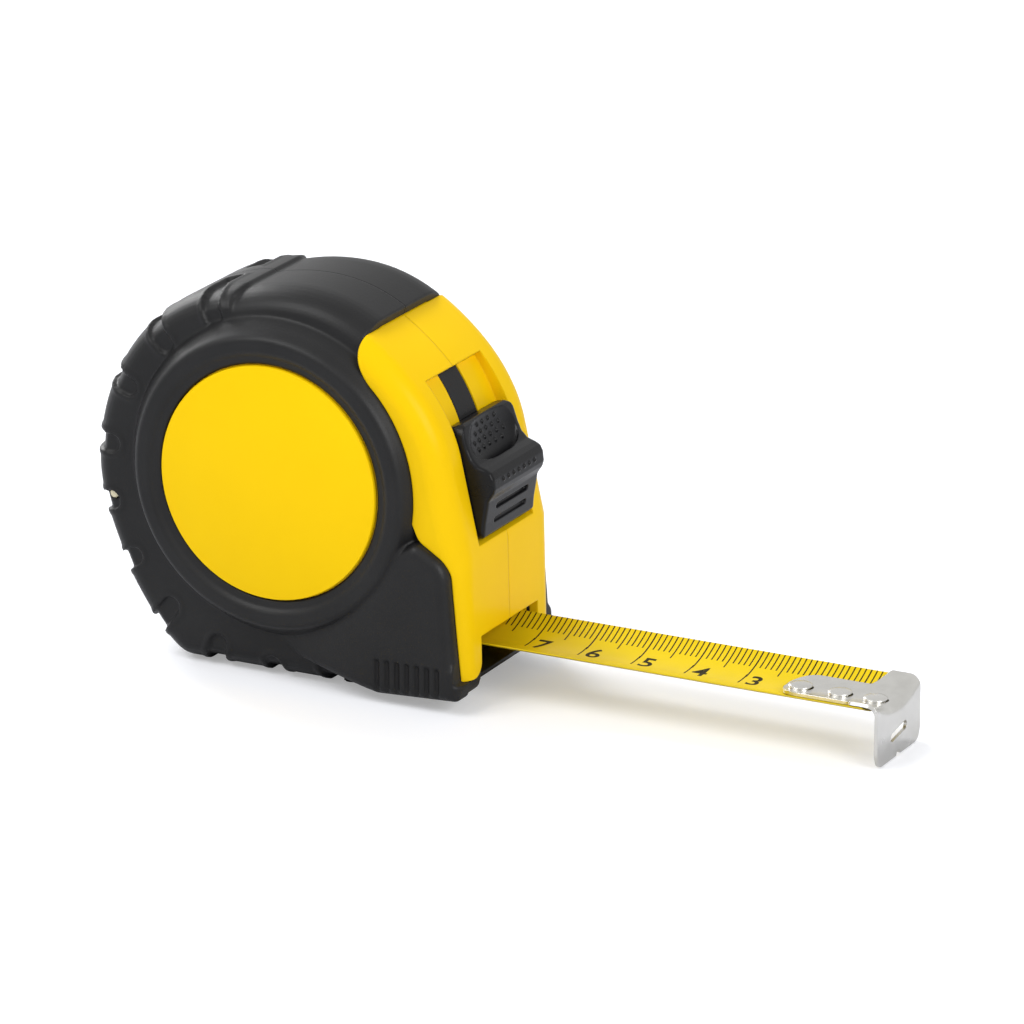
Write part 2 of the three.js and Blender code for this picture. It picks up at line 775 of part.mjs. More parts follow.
function reelDrum() {
  const floor = bladeHalf + gap;
  const side = floor + flangeThickness;
  const bore = postRadius + gap;
  return turned([
    [bore, -side], [flangeRadius, -side], [flangeRadius, -floor], [drumOuter, -floor],
    [drumOuter, bladeHalf], [drumInner, bladeHalf], [drumInner, -floor], [bore, -floor],
  ]);
}

function reelCover() {
  const from = bladeHalf + gap;
  const to = from + flangeThickness;
  const bore = postRadius + gap;
  return turned([[bore, from], [flangeRadius, from], [flangeRadius, to], [bore, to]]);
}

function mainspring() {
  const outer = drumInner - gap;
  const steps = springTurns * smallSteps;
  const edge = (shift) => Array.from({ length: steps + 1 }, (_, i) => {
    const radius = springInner + shift + ((outer - springThickness - springInner) * i) / steps;
    return polar(radius, (360 * i) / smallSteps);
  });
  return slab([...edge(springThickness), ...edge(0).reverse()], -springHalf, springHalf);
}

function bladeCoil() {
  return turned([
    [coilInner, -bladeHalf], [coilRadius, -bladeHalf], [coilRadius, bladeHalf], [coilInner, bladeHalf],
  ]);
}

// Blade and hook

// How far the blade's cross curve has formed at x, from 0 to 1.
function curveShare(x) {
  return THREE.MathUtils.smoothstep(x, bladeFlatEnd, bladeCurved);
}

// The blade's middle surface: s runs across it, rise goes up from it.
function bladePoint(x, s, rise) {
  const share = curveShare(x);
  const radius = bladeCurve / Math.max(share, flatCurveShare);
  const under = THREE.MathUtils.lerp(reelHeight - coilRadius - gap - bladeThickness, bladeLow, share);
  const angle = s / radius;
  const y = (radius - rise) * Math.sin(angle);
  const z = under + radius - (radius - rise) * Math.cos(angle);
  return new THREE.Vector3(x, y, z);
}

function blade() {
  const end = hookFace - hookBend - hookTravel;
  const geometry = new THREE.BoxGeometry(1, 1, 1, bladeRows, bladeColumns, 1);
  const p = geometry.attributes.position;
  for (let i = 0; i < p.count; i += 1) {
    const along = p.getX(i) + 0.5;
    const x = along < bladeCurvingShare
      ? THREE.MathUtils.mapLinear(along, 0, bladeCurvingShare, 0, bladeCurved)
      : THREE.MathUtils.mapLinear(along, bladeCurvingShare, 1, bladeCurved, end);
    const point = bladePoint(x, p.getY(i) * 2 * bladeHalf, (p.getZ(i) + 0.5) * bladeThickness);
    p.setXYZ(i, point.x, point.y, point.z);
  }
  const width = 2 * (rivetShankRadius + gap);
  return cut(solid(geometry), ...rivetPlaces().map((x) => upright(stadium(width + gap, width), x)));
}

function rivetPlaces() {
  return rivetShares.map((share) => tongueStart + share * tongueLength);
}

// A vertical prism through the blade and the hook's tongue.
function upright(shape, x) {
  const depth = hookTop + 2 * overrun;
  const options = { depth, bevelEnabled: false, curveSegments: slotSteps };
  return solid(new THREE.ExtrudeGeometry(shape, options).translate(x, 0, -overrun));
}

// The hook is one sheet: along its length s it is the tongue, then the bend, then the plate.
function hookPoint(s, across, rise) {
  const flat = tongueLength - hookBend;
  const quarter = (Math.PI / 2) * hookBend;
  const y = across * hookWidth(s);
  const curve = bladeCurve - bladeThickness - sheetGap;
  const top = hookTop + curve - Math.sqrt(curve ** 2 - y ** 2);
  const inner = hookThickness - rise;
  if (s <= flat) {
    return new THREE.Vector3(tongueStart + s, y, top - inner);
  }
  const start = top - hookBend;
  if (s <= flat + quarter) {
    const angle = (s - flat) / hookBend;
    const radius = hookBend - inner;
    const x = hookFace - hookBend + radius * Math.sin(angle);
    return new THREE.Vector3(x, y, start + radius * Math.cos(angle));
  }
  const beyond = Math.max(0, Math.abs(y) - (hookHalf - hookCorner)) / hookCorner;
  const low = hookLow + hookCorner * (1 - Math.sqrt(1 - Math.min(1, beyond) ** 2));
  const down = (s - flat - quarter) / (hookLength() - flat - quarter);
  return new THREE.Vector3(hookFace - inner, y, start + (low - start) * down);
}

function hookLength() {
  return tongueLength - hookBend + (Math.PI / 2) * hookBend + hookTop - hookBend - hookLow;
}

function hookWidth(s) {
  const tip = Math.sqrt(1 - (1 - Math.min(1, s / tongueTip + tipShare)) ** 2);
  const from = tongueLength - flareStart;
  const flare = THREE.MathUtils.smoothstep(s, from, from + flareLength);
  return THREE.MathUtils.lerp(tongueHalf * tip, hookHalf, flare);
}

function endHook() {
  const columns = acrossShares.length - 1;
  const geometry = new THREE.BoxGeometry(1, 1, 1, hookRows, columns, 1);
  const p = geometry.attributes.position;
  for (let i = 0; i < p.count; i += 1) {
    const across = acrossShares[Math.round((p.getY(i) + 0.5) * columns)];
    const point = hookPoint((p.getX(i) + 0.5) * hookLength(), across, (p.getZ(i) + 0.5) * hookThickness);
    p.setXYZ(i, point.x, point.y, point.z);
  }
  const cutFrom = hookFace - hookBend;
  const slotShape = stadium(hookSlotLength, hookSlotWidth);
  const slot = alongX(slotShape, cutFrom, overrun, hookSlotHeight, hookSlotAngle);
  const notchShape = stadium(2 * notchRadius * notchLengthShare, 2 * notchRadius);
  const notch = alongX(notchShape, cutFrom, overrun, hookLow);
  const width = 2 * (rivetShankRadius + gap);
  const holes = rivetPlaces().map((x) => upright(stadium(width + 2 * hookTravel, width), x + hookTravel / 2));
  return cut(solid(geometry), slot, notch, ...holes);
}

// A shape drawn in Y and Z, turned by tilt degrees and made solid along X.
function alongX(shape, from, depth, height = 0, tilt = 0) {
  const options = { depth, bevelEnabled: false, curveSegments: slotSteps };
  const geometry = new THREE.ExtrudeGeometry(shape, options);
  const [x, y, z] = [[0, 1, 0], [0, 0, 1], [1, 0, 0]].map((axis) => new THREE.Vector3(...axis));
  geometry.rotateZ(tilt * turn).applyMatrix4(new THREE.Matrix4().makeBasis(x, y, z));
  return solid(geometry.translate(from, 0, height));
}

function hookRivet(x) {
  const foot = bladeLow - sheetGap;
  const head = hookTop + sheetGap;
  const dome = rivetDomeShares.map(([out, up]) => [rivetHeadRadius * out, head + rivetHeadHeight * up]);
  const profile = [
    [0, foot - rivetFootHeight], [rivetFootRadius, foot - rivetFootHeight], [rivetFootRadius, foot],
    [rivetShankRadius, foot], [rivetShankRadius, head], ...dome,
  ];
  const points = profile.map(([radius, z]) => new THREE.Vector2(radius, z));
  const lathe = new THREE.LatheGeometry([...points, points[0].clone()], smallSteps);
  return solid(lathe.rotateX(Math.PI / 2).translate(x, 0, 0));
}

// Screws and belt clip

function screwPlaces() {
  const front = at(frontReach - frontScrewInset, reelHeight - frontScrewDrop);
  const rear = rearScrewAngles.map((angle, i) => polar(chamberRadius + rearScrewWalls[i], angle));
  return [...rear, front];
}

function caseScrew(place) {
  const seat = screwSeat + gap;
  const face = seat + screwHeadHeight;
  const head = rod(screwHeadRadius, seat, face, place.x, place.y);
  const shank = rod(screwShankRadius, seat - screwLength, seat + screwHeadHeight / 2, place.x, place.y);
  return cut(join(head, shank), ...crossRecess(screwHeadRadius, face, screwHeadHeight, place.x, place.y));
}

function crossRecess(radius, face, height, x, z) {
  const long = radius * crossLongShare;
  const thin = radius * crossThinShare;
  const floor = face - height * crossDeepShare;
  return [
    block(x - long, x + long, floor, face + overrun, z - thin, z + thin),
    block(x - thin, x + thin, floor, face + overrun, z - long, z + long),
  ];
}

function clipScrew() {
  const seat = panelHalf + gap + clipThickness + gap;
  const face = seat + clipScrewHeadHeight;
  const head = rod(clipScrewHeadRadius, seat, face);
  const shank = rod(clipScrewShankRadius, clipScrewEnd, seat + clipScrewHeadHeight / 2);
  const recess = crossRecess(clipScrewHeadRadius, face, clipScrewHeadHeight, 0, reelHeight);
  return cut(join(head, shank), ...recess);
}

function beltClip() {
  const leg = panelHalf + gap;
  const arm = leg + clipThickness + clipGap;
  const outerBend = (arm + clipThickness - leg) / 2;
  const middle = leg + outerBend;
  const top = reelHeight + clipRise;
  const low = reelHeight - clipArmDrop;
  const shape = new THREE.Shape();
  shape.moveTo(leg, reelHeight - clipDrop);
  shape.lineTo(leg, top);
  shape.absarc(middle, top, outerBend, Math.PI, 0, true);
  shape.lineTo(arm + clipThickness, low);
  shape.lineTo(arm + clipThickness + clipFlare, low - clipFlareDrop);
  shape.lineTo(arm + clipFlare, low - clipFlareDrop);
  shape.lineTo(arm, low);
  shape.lineTo(arm, top);
  shape.absarc(middle, top, outerBend - clipThickness, 0, Math.PI, false);
  shape.lineTo(leg + clipThickness, reelHeight - clipDrop);
  const strip = alongX(shape, -clipHalf, 2 * clipHalf);
  return cut(strip, rod(clipScrewShankRadius + gap, 0, leg + clipThickness + gap));
}

// The assembly

function piece(name, body, material) {
  const mesh = body.getMesh();
  const geometry = new THREE.BufferGeometry();
  geometry.setAttribute("position", new THREE.BufferAttribute(new Float32Array(mesh.vertProperties), 3));
  geometry.setIndex(new THREE.BufferAttribute(new Uint32Array(mesh.triVerts), 1));
  geometry.computeVertexNormals();
  const part = new THREE.Mesh(geometry, material);
  part.name = name;
  return part;
}

function group(...pieces) {
  const parts = new THREE.Group();
  parts.add(...pieces);
  return parts;
}

const caseParts = group(
  piece("shell_near", shellHalf(-1), yellowShell),
  piece("shell_far", shellHalf(1), yellowShell),
  piece("grip_near", gripHalf(-1), blackRubber),
  piece("grip_far", gripHalf(1), blackRubber),
  piece("side_disc_near", sideDisc(-1), yellowDisc),
  piece("side_disc_far", sideDisc(1), yellowDisc),
  piece("chin_plate", chinPlate(), blackPlastic),
  piece("strap_pin", strapPin(), whitePlastic),
  piece("centre_post", centrePost(), blackPlastic),
  piece("mainspring", mainspring(), springSteel),
  piece("belt_clip", beltClip(), brightSteel),
  piece("clip_screw", clipScrew(), brightSteel),
  ...screwPlaces().map((place, i) => piece(`case_screw_${i + 1}`, caseScrew(place), brightSteel)),
);

const lockParts = group(
  piece("thumb_button", thumbButton(), blackPlastic),
  piece("lock_band", lockBand(), blackPlastic),
  piece("brake_shoe", brakeShoe(), blackRubber),
);

const reelParts = group(
  piece("reel_drum", reelDrum(), whitePlastic),
  piece("reel_cover", reelCover(), whitePlastic),
  piece("blade_coil", bladeCoil(), bladePaint),
);

const bladeParts = group(
  piece("blade", blade(), bladePaint),
  ...rivetPlaces().map((x, i) => piece(`hook_rivet_${i + 1}`, hookRivet(x), brightSteel)),
  piece("end_hook", endHook(), brightSteel),
);

export default group(caseParts, lockParts, reelParts, bladeParts);
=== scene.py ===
import math
import bmesh
import bpy
from mathutils import Matrix, Vector
from mathutils.bvhtree import BVHTree
from mathutils.geometry import interpolate_bezier


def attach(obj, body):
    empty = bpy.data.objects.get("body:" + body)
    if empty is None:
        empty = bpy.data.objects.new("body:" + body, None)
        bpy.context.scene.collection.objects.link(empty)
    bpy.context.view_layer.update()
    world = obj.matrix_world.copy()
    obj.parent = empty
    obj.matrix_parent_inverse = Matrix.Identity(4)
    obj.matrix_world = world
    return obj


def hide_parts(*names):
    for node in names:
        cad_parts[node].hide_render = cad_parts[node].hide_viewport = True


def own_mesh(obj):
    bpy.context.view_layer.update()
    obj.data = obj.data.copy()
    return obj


# A retractable pocket tape: yellow case halves under rubber grips, thumb lock, blade and end hook.
# Shapes are drawn in millimetres: X is the way the blade pulls out, Y runs across the case, Z is up.
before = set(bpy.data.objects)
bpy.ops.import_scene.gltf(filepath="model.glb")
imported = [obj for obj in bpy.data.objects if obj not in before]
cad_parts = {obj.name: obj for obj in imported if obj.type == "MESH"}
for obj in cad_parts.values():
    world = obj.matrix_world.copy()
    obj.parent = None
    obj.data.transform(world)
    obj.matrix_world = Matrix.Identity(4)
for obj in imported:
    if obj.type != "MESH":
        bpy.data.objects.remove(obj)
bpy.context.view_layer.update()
millimetre = 0.001

case = {
    "reelHeight": 36.4, "crownRadius": 33.1, "crownEnd": 105, "crownSag": 0.8, "sagStart": 65,
    "crownSink": 1.5, "sinkFoot": 10, "sinkTop": 55, "frontReach": 37, "columnFoot": 5.5, "rakeReach": 36.1,
    "rakeDrop": 9.5, "backCentreX": -5, "backCentreDrop": 2.5, "backReach": 37.3, "backRise": 32,
    "leanShare": 0.5, "heelReach": 30.8, "heelHeight": 12.5, "flankHandle": 1.6, "heelHandle": 0.56,
    "baseHandle": 1.1, "baseRear": 19, "baseFront": 13, "insideAngle": 290, "footStart": 20.4, "footLow": 1.8,
    "footFront": 36.2, "footFrontLow": 2.6, "footTop": 9.5, "footBeyond": 0.4, "footCorner": 2.2,
    "toeCorner": 1.4, "bodyHalf": 14.6, "bodyEdge": 6.5, "bodyInset": 4, "frontHalf": 16.7, "frontEdge": 4.2,
    "panelFace": 18.7, "panelEdge": 2.5, "panelInset": 1.8, "wall": 1.6, "joint": 0.06, "seam": 0.02,
    "chamberRadius": 28.7, "chamberHalf": 11.3, "channelHalf": 10.4, "channelLow": 5.7, "channelHigh": 12.4,
    "mouthStart": -4, "chinStart": 21, "chinEnd": 36, "columnCorner": 2.6, "below": -12,
}
cutReach = {"x": 60, "y": 40, "low": -20, "high": 90, "front": 12}  # cuts run out past every piece
arcSteps = 40
cornerHandle = 0.42  # how far a rounded corner's handles lie from its point


# Outlines in X and Z

def polar(radius, angle):
    turn = math.radians(angle)
    return Vector((radius * math.cos(turn), case["reelHeight"] + radius * math.sin(turn)))


def arc(radius, start, end, steps=arcSteps):
    return [polar(radius, start + (end - start) * i / steps) for i in range(steps + 1)]


def bend(start, control, controlEnd, end, steps):
    knots = [Vector(p).to_3d() for p in (start, control, controlEnd, end)]
    return [p.to_2d() for p in interpolate_bezier(*knots, steps + 1)]


def offset(points, distance):  # moves a closed outline along its normals, outwards for a positive distance
    area = sum(a.cross(b) for a, b in zip(points, points[1:] + points[:1]))
    side = 1 if area > 0 else -1
    moved = []
    for i, point in enumerate(points):
        into = (point - points[i - 1]).normalized()
        out = (points[(i + 1) % len(points)] - point).normalized()
        normal = Vector((into.y + out.y, -into.x - out.x)).normalized()
        moved.append(point + normal * (side * distance / (normal.x * into.y - normal.y * into.x)))
    return moved


def eased(points, radii):  # rounds the corners named by their place in the outline
    result = []
    for i, point in enumerate(points):
        if i not in radii:
            result.append(point)
            continue
        before = point + (points[i - 1] - point).normalized() * radii[i]
        after = point + (points[(i + 1) % len(points)] - point).normalized() * radii[i]
        result += bend(before, point.lerp(before, cornerHandle), point.lerp(after, cornerHandle), after, 6)
    return result


def smoothStep(value, low, high):
    share = min(1, max(0, (value - low) / (high - low)))
    return share * share * (3 - 2 * share)


def backPoints():
    centreX, reach = case["backCentreX"], case["backReach"]
    centreZ = case["reelHeight"] - case["backCentreDrop"]
    across = reach + centreX
    up = case["backRise"] + case["backCentreDrop"]
    crown = case["crownRadius"] * math.cos(math.radians(case["crownEnd"]))
    start = math.acos((crown - centreX) / across)
    upper = []
    for i in range(arcSteps + 1):
        angle = start + (math.pi - start) * i / arcSteps
        upper.append(Vector((centreX + across * math.cos(angle), centreZ + up * math.sin(angle))))
    heelReach, heelHeight = case["heelReach"], case["heelHeight"]
    lean = (reach - heelReach) * case["leanShare"]
    heel = (-heelReach, heelHeight)
    flank = bend(
        (-reach, centreZ), (-reach, centreZ + (heelHeight - centreZ) / 3),
        (-heelReach - lean, heelHeight * case["flankHandle"]), heel, 20)
    corner = bend(
        heel, (-heelReach + lean, heelHeight * case["heelHandle"]),
        (-case["baseRear"] - case["baseHandle"] * lean, 0), (-case["baseRear"], 0), 18)
    return upper + flank[1:] + corner[1:] + [Vector((case["baseFront"], 0))]


def crownPoints():
    radius, sagStart, sagSteps = case["crownRadius"], case["sagStart"], 20
    corner = Vector((case["rakeReach"], -case["rakeDrop"]))
    tangent = math.degrees(math.atan2(corner.y, corner.x) + math.acos(radius / corner.length))
    rake = Vector((case["rakeReach"], case["reelHeight"] - case["rakeDrop"]))
    rear = []
    for i in range(1, sagSteps + 1):
        angle = sagStart + (case["crownEnd"] - sagStart) * i / sagSteps
        rear.append(polar(radius - case["crownSag"] * smoothStep(i / sagSteps, 0, 1), angle))
    return [rake] + arc(radius, tangent, sagStart) + rear


def sunk(point):  # the yellow crown lies a little below the rubber's
    out = point - Vector((0, case["reelHeight"]))
    share = smoothStep(math.degrees(math.atan2(out.y, out.x)), case["sinkFoot"], case["sinkTop"])
    return point - out.normalized() * (case["crownSink"] * share)


def footPoints():
    corners = (case["footStart"], case["footLow"]), (case["footFront"], case["footFrontLow"])
    return [Vector(p) for p in corners]


def caseCorners(inwards):
    back = offset(backPoints() + [polar(case["crownRadius"] / 2, case["insideAngle"])], -inwards)
    return footPoints() + crownPoints() + back[1:-1]


def caseOutline(inwards):
    return eased(caseCorners(inwards), {1: case["toeCorner"]})


windowShape = {
    "front": 35.2, "edge": ((33.7, 24.9), (32.4, 26.9), (27.8, 29.8)), "edgeCorners": {1: 1.1, 2: 0.9, 3: 1},
    "ring": 26.8, "foot": -8, "top": 60, "turn": 17, "corner": 8, "reach": 12,
    "root": 28.4, "panelStart": -20, "panelEnd": -62,
}


def windowEdge():  # from the mouth up to the ring
    points = [(windowShape["front"], case["columnFoot"]), *windowShape["edge"]]
    return [Vector(p) for p in points]


def windowOutline():
    ring, top, reach = windowShape["ring"], windowShape["top"], case["crownRadius"] + windowShape["reach"]
    turn, cornerReach = windowShape["turn"], windowShape["corner"]
    corner = bend(
        polar(ring, top - turn), polar(ring, top - turn * 0.4), polar(ring + cornerReach * 0.4, top),
        polar(ring + cornerReach, top), 12)
    edge = arc(ring, windowShape["foot"], top - turn)[:-1]
    far = [(reach, case["reelHeight"] + reach), (reach, case["columnFoot"])]
    outline = windowEdge() + edge + corner + [polar(reach, top)] + [Vector(p) for p in far]
    return eased(outline, windowShape["edgeCorners"])


def panelCorners():
    rear = arc(windowShape["root"], windowShape["panelStart"], windowShape["panelEnd"], 30)
    return footPoints() + windowEdge() + rear


def footOutline():
    top = case["footTop"]
    corners = [Vector((case["footFront"] + case["footBeyond"], top)), Vector((case["footStart"], top))]
    return eased(footPoints() + corners, {1: case["footCorner"]})


# Solids: each starts as a bmesh in millimetres and becomes an object for the Boolean cuts

def linked(name, data):
    obj = bpy.data.objects.new(name, data)
    bpy.context.scene.collection.objects.link(obj)
    return obj


def asObject(bm, name="cutter"):
    mesh = bpy.data.meshes.new(name)
    bm.to_mesh(mesh)
    bm.free()
    return linked(name, mesh)


def baked(obj):
    bpy.context.view_layer.update()
    evaluated = obj.evaluated_get(bpy.context.evaluated_depsgraph_get())
    mesh = bpy.data.meshes.new_from_object(evaluated)
    obj.modifiers.clear()
    obj.data = mesh
    return obj


def combined(base, tools, how):
    for tool in tools:
        modifier = base.modifiers.new("cut", "BOOLEAN")
        modifier.operation = how
        modifier.solver = "MANIFOLD"
        modifier.object = tool
    baked(base)
    for tool in tools:
        bpy.data.objects.remove(tool)
    return base


def joined(base, *tools):
    return combined(base, tools, "UNION")


def cut(base, *tools):
    return combined(base, tools, "DIFFERENCE")


def kept(base, tool):
    return combined(base, [tool], "INTERSECT")


def copied(obj):
    return linked(obj.name, obj.data.copy())


def mirrored(obj):  # the same piece on the other side of the case
    bm = bmesh.new()
    bm.from_mesh(obj.data)
    bmesh.ops.scale(bm, verts=bm.verts, vec=(1, -1, 1))
    bmesh.ops.reverse_faces(bm, faces=bm.faces)
    return asObject(bm, obj.name)


def drawnOut(bm, vec):  # makes a solid of the one face that the bmesh holds
    grown = bmesh.ops.extrude_face_region(bm, geom=bm.faces[:])["geom"]
    moved = [v for v in grown if isinstance(v, bmesh.types.BMVert)]
    bmesh.ops.translate(bm, verts=moved, vec=vec)
    bmesh.ops.recalc_face_normals(bm, faces=bm.faces)
    return bm


def prism(points, near, far):
    bm = bmesh.new()
    bm.faces.new([bm.verts.new((p.x, near, p.y)) for p in points])
    return drawnOut(bm, (0, far - near, 0))


def slab(points, near, far):
    return asObject(prism(points, near, far))


def bevelled(bm, edges, offset, segments):
    bmesh.ops.bevel(
        bm, geom=edges, offset=offset, affect="EDGES", segments=segments, profile=0.5, material=-1)


def roundedSlab(points, half, edge, inset, segments=8):
    bm = prism(points, -half, half)
    bmesh.ops.scale(bm, verts=bm.verts, vec=(1, inset / edge, 1))
    rims = [e for e in bm.edges if abs(e.verts[0].co.y - e.verts[1].co.y) < inset * 0.1]
    bevelled(bm, rims, inset, segments)
    bmesh.ops.scale(bm, verts=bm.verts, vec=(1, edge / inset, 1))
    return asObject(bm)


def alongX(points, start, end):  # points of Y and Z
    bm = bmesh.new()
    bm.faces.new([bm.verts.new((start, y, z)) for y, z in points])
    return asObject(drawnOut(bm, (end - start, 0, 0)))


def spun(bm, centre, axis, steps):
    geometry = bm.verts[:] + bm.edges[:]
    bmesh.ops.spin(bm, geom=geometry, cent=centre, axis=axis, angle=math.tau, steps=steps, use_merge=True)
    bmesh.ops.remove_doubles(bm, verts=bm.verts, dist=0.0001)
    bmesh.ops.recalc_face_normals(bm, faces=bm.faces)
    return asObject(bm)


def turned(profile, x=0, z=None, steps=128):  # a closed profile of radius and Y, spun about a line along Y
    z = case["reelHeight"] if z is None else z
    bm = bmesh.new()
    verts = [bm.verts.new((x + radius, y, z)) for radius, y in profile]
    for i, vert in enumerate(verts):
        if max(profile[i][0], profile[i - 1][0]) > 0:
            bm.edges.new((verts[i - 1], vert))
    return spun(bm, (x, 0, z), (0, 1, 0), steps)


def bothSides(profile, steps=128):
    return joined(turned(profile, steps=steps), turned([(radius, -y) for radius, y in profile], steps=steps))


def rod(radius, near, far, x=0, z=None, steps=32):
    return turned([(0, near), (radius, near), (radius, far), (0, far)], x, z, steps)


def block(x0, x1, y0, y1, z0, z1, edge=0):
    bm = bmesh.new()
    bmesh.ops.create_cube(bm, size=1)
    bmesh.ops.scale(bm, verts=bm.verts, vec=(x1 - x0, y1 - y0, z1 - z0))
    bmesh.ops.translate(bm, verts=bm.verts, vec=((x0 + x1) / 2, (y0 + y1) / 2, (z0 + z1) / 2))
    if edge:
        bevelled(bm, bm.edges[:], edge, 3)
    return asObject(bm)


def thickened(bm, thickness):  # gives an open sheet its thickness, below its upper face
    bmesh.ops.recalc_face_normals(bm, faces=bm.faces)
    if sum(f.normal.z + f.normal.x for f in bm.faces) < 0:
        bmesh.ops.reverse_faces(bm, faces=bm.faces)
    bmesh.ops.solidify(bm, geom=bm.faces[:], thickness=thickness)
    bmesh.ops.recalc_face_normals(bm, faces=bm.faces)
    return asObject(bm)


def sliced(bm, place, normal):
    geometry = bm.verts[:] + bm.edges[:] + bm.faces[:]
    bmesh.ops.bisect_plane(bm, geom=geometry, plane_co=place, plane_no=normal, dist=0.0001)


def sideOfSeam(side):  # all that lies on one side of the middle seam
    near, far = sorted((side * case["seam"], side * cutReach["y"]))
    return block(-cutReach["x"], cutReach["x"], near, far, cutReach["low"], cutReach["high"])


def sector(inner, outer, start, end, steps=48):
    return arc(outer, start, end, steps) + arc(inner, end, start, steps)


def softened(obj, voxel, passes, most=190000):  # fine even mesh with soft edges, as moulding leaves them
    voxel = voxel
    remesh = obj.modifiers.new("fine", "REMESH")
    remesh.mode = "VOXEL"
    remesh.voxel_size = voxel
    smooth = obj.modifiers.new("soft", "SMOOTH")
    smooth.factor = 0.5
    smooth.iterations = passes
    baked(obj)
    triangles = sum(len(p.vertices) - 2 for p in obj.data.polygons)
    if triangles > most:
        obj.modifiers.new("fewer", "DECIMATE").ratio = most / triangles
        baked(obj)
    return obj


def finished(obj, name, material, body, nodes, sharp=35):
    mesh = obj.data
    mesh.transform(Matrix.Scale(millimetre, 4))
    mesh.name = name
    obj.name = name
    if material:
        mesh.materials.clear()
        mesh.materials.append(material)
    mesh.shade_smooth()
    if sharp:
        mesh.set_sharp_from_angle(angle=math.radians(sharp))
    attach(obj, body)
    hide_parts(*nodes)


# Materials

class Link:
    def __init__(self, tree, socket):
        self.tree = tree
        self.socket = socket

    def node(self, kind, settings=None, values=None, output=0):
        made = self.tree.nodes.new(kind)
        for name, value in (settings or {}).items():
            if name == "stops":
                while len(made.color_ramp.elements) < len(value):
                    made.color_ramp.elements.new(0.5)
                for element, (place, colour) in zip(made.color_ramp.elements, value):
                    element.position = place
                    element.color = colour
            else:
                setattr(made, name, value)
        for name, value in (values or {}).items():
            if isinstance(value, Link):
                self.tree.links.new(value.socket, made.inputs[name])
            else:
                made.inputs[name].default_value = value
        return Link(self.tree, made.outputs[output])

    def maths(self, operation, *values):
        return self.node("ShaderNodeMath", {"operation": operation}, dict(enumerate(values)))

    def __rsub__(self, other):
        return self.maths("SUBTRACT", other, self)

    def __abs__(self):
        return self.maths("ABSOLUTE", self)


operators = {
    "__add__": "ADD", "__radd__": "ADD", "__sub__": "SUBTRACT", "__mul__": "MULTIPLY", "__rmul__": "MULTIPLY",
    "__truediv__": "DIVIDE", "__mod__": "FLOORED_MODULO", "__lt__": "LESS_THAN", "__gt__": "GREATER_THAN",
}
for name, operation in operators.items():
    setattr(Link, name, lambda self, other, how=operation: self.maths(how, self, other))


def newMaterial(name, constants):
    material = bpy.data.materials.new(name)
    material.use_nodes = True
    tree = material.node_tree
    shader = tree.nodes["Principled BSDF"]
    for socket, value in constants.items():
        shader.inputs[socket].default_value = value
    start = Link(tree, None)
    place = start.node("ShaderNodeTexCoord", output="Object")
    return material, shader, start, place


def feed(shader, links):
    for name, link in links.items():
        link.tree.links.new(link.socket, shader.inputs[name])


def noise(start, place, scale, detail=3):
    return start.node("ShaderNodeTexNoise", values={"Vector": place, "Scale": scale, "Detail": detail})


def between(start, factor, low, high):
    ramp = {"stops": [(0.3, (*low, 1)), (0.7, (*high, 1))]}
    return start.node("ShaderNodeValToRGB", ramp, {"Fac": factor})


def roundEdges(start, radius):
    return start.node("ShaderNodeBevel", {"samples": 6}, {"Radius": radius * millimetre})


def bump(start, height, strength, depth, normal=None):
    values = {"Height": height, "Strength": strength, "Distance": depth * millimetre}
    if normal:
        values["Normal"] = normal
    return start.node("ShaderNodeBump", values=values)


def seamLine(start, place):  # 1 on the middle seam of the case, 0 beside it
    y = abs(start.node("ShaderNodeSeparateXYZ", values={"Vector": place}, output="Y"))
    line, past = 0.03 * millimetre, 0.17 * millimetre
    fade = {"Value": y, "From Min": line, "From Max": past, "To Min": 1, "To Max": 0}
    return start.node("ShaderNodeMapRange", values=fade)


looks = {
    "mouldedRubber": {
        "specular": 0.28, "low": (0.007, 0.007, 0.0074), "high": (0.011, 0.011, 0.0115), "cloud": 90,
        "roughness": 0.4, "grain": 3200, "seam": 6, "strength": 0.5, "depth": 0.05, "edge": 0.25},
    "glossyYellow": {
        "specular": 0.06, "low": (0.86, 0.545, 0.003), "high": (0.89, 0.57, 0.004), "cloud": 60,
        "roughness": 0.26, "uneven": 0.08, "grain": 1500, "detail": 0, "relief": 0.3, "seam": 4,
        "strength": 0.3, "depth": 0.02, "edge": 0.35},
    "satinDisc": {
        "specular": 0.08, "low": (0.93, 0.595, 0.0012), "high": (0.955, 0.62, 0.002), "cloud": 45,
        "roughness": 0.42, "grain": 2600, "strength": 0.15, "depth": 0.02},
    "lockPlastic": {
        "specular": 0.18, "low": (0.006, 0.006, 0.0066), "high": (0.01, 0.01, 0.011), "roughness": 0.24},
    "bandPlastic": {"low": (0.009, 0.009, 0.0095), "high": (0.014, 0.014, 0.0145), "roughness": 0.42},
    "paleNylon": {"low": (0.7, 0.64, 0.44), "high": (0.78, 0.73, 0.55), "roughness": 0.45},
    "blackInk": {
        "specular": 0.08, "low": (0.02, 0.016, 0.006), "high": (0.03, 0.024, 0.009), "roughness": 0.45,
        "depth": 0.005},
    "nickelPlate": {"low": (0.64, 0.63, 0.6), "high": (0.72, 0.71, 0.68), "roughness": 0.22},
    "bluedSpring": {"low": (0.22, 0.24, 0.29), "high": (0.32, 0.33, 0.36), "roughness": 0.3},
}
plasticLook = {
    "metallic": 0, "specular": 0.4, "cloud": 120, "uneven": 0.1, "grain": 2800, "detail": 2, "relief": 1,
    "seam": 0, "strength": 0.4, "depth": 0.03, "edge": 0.15,
}
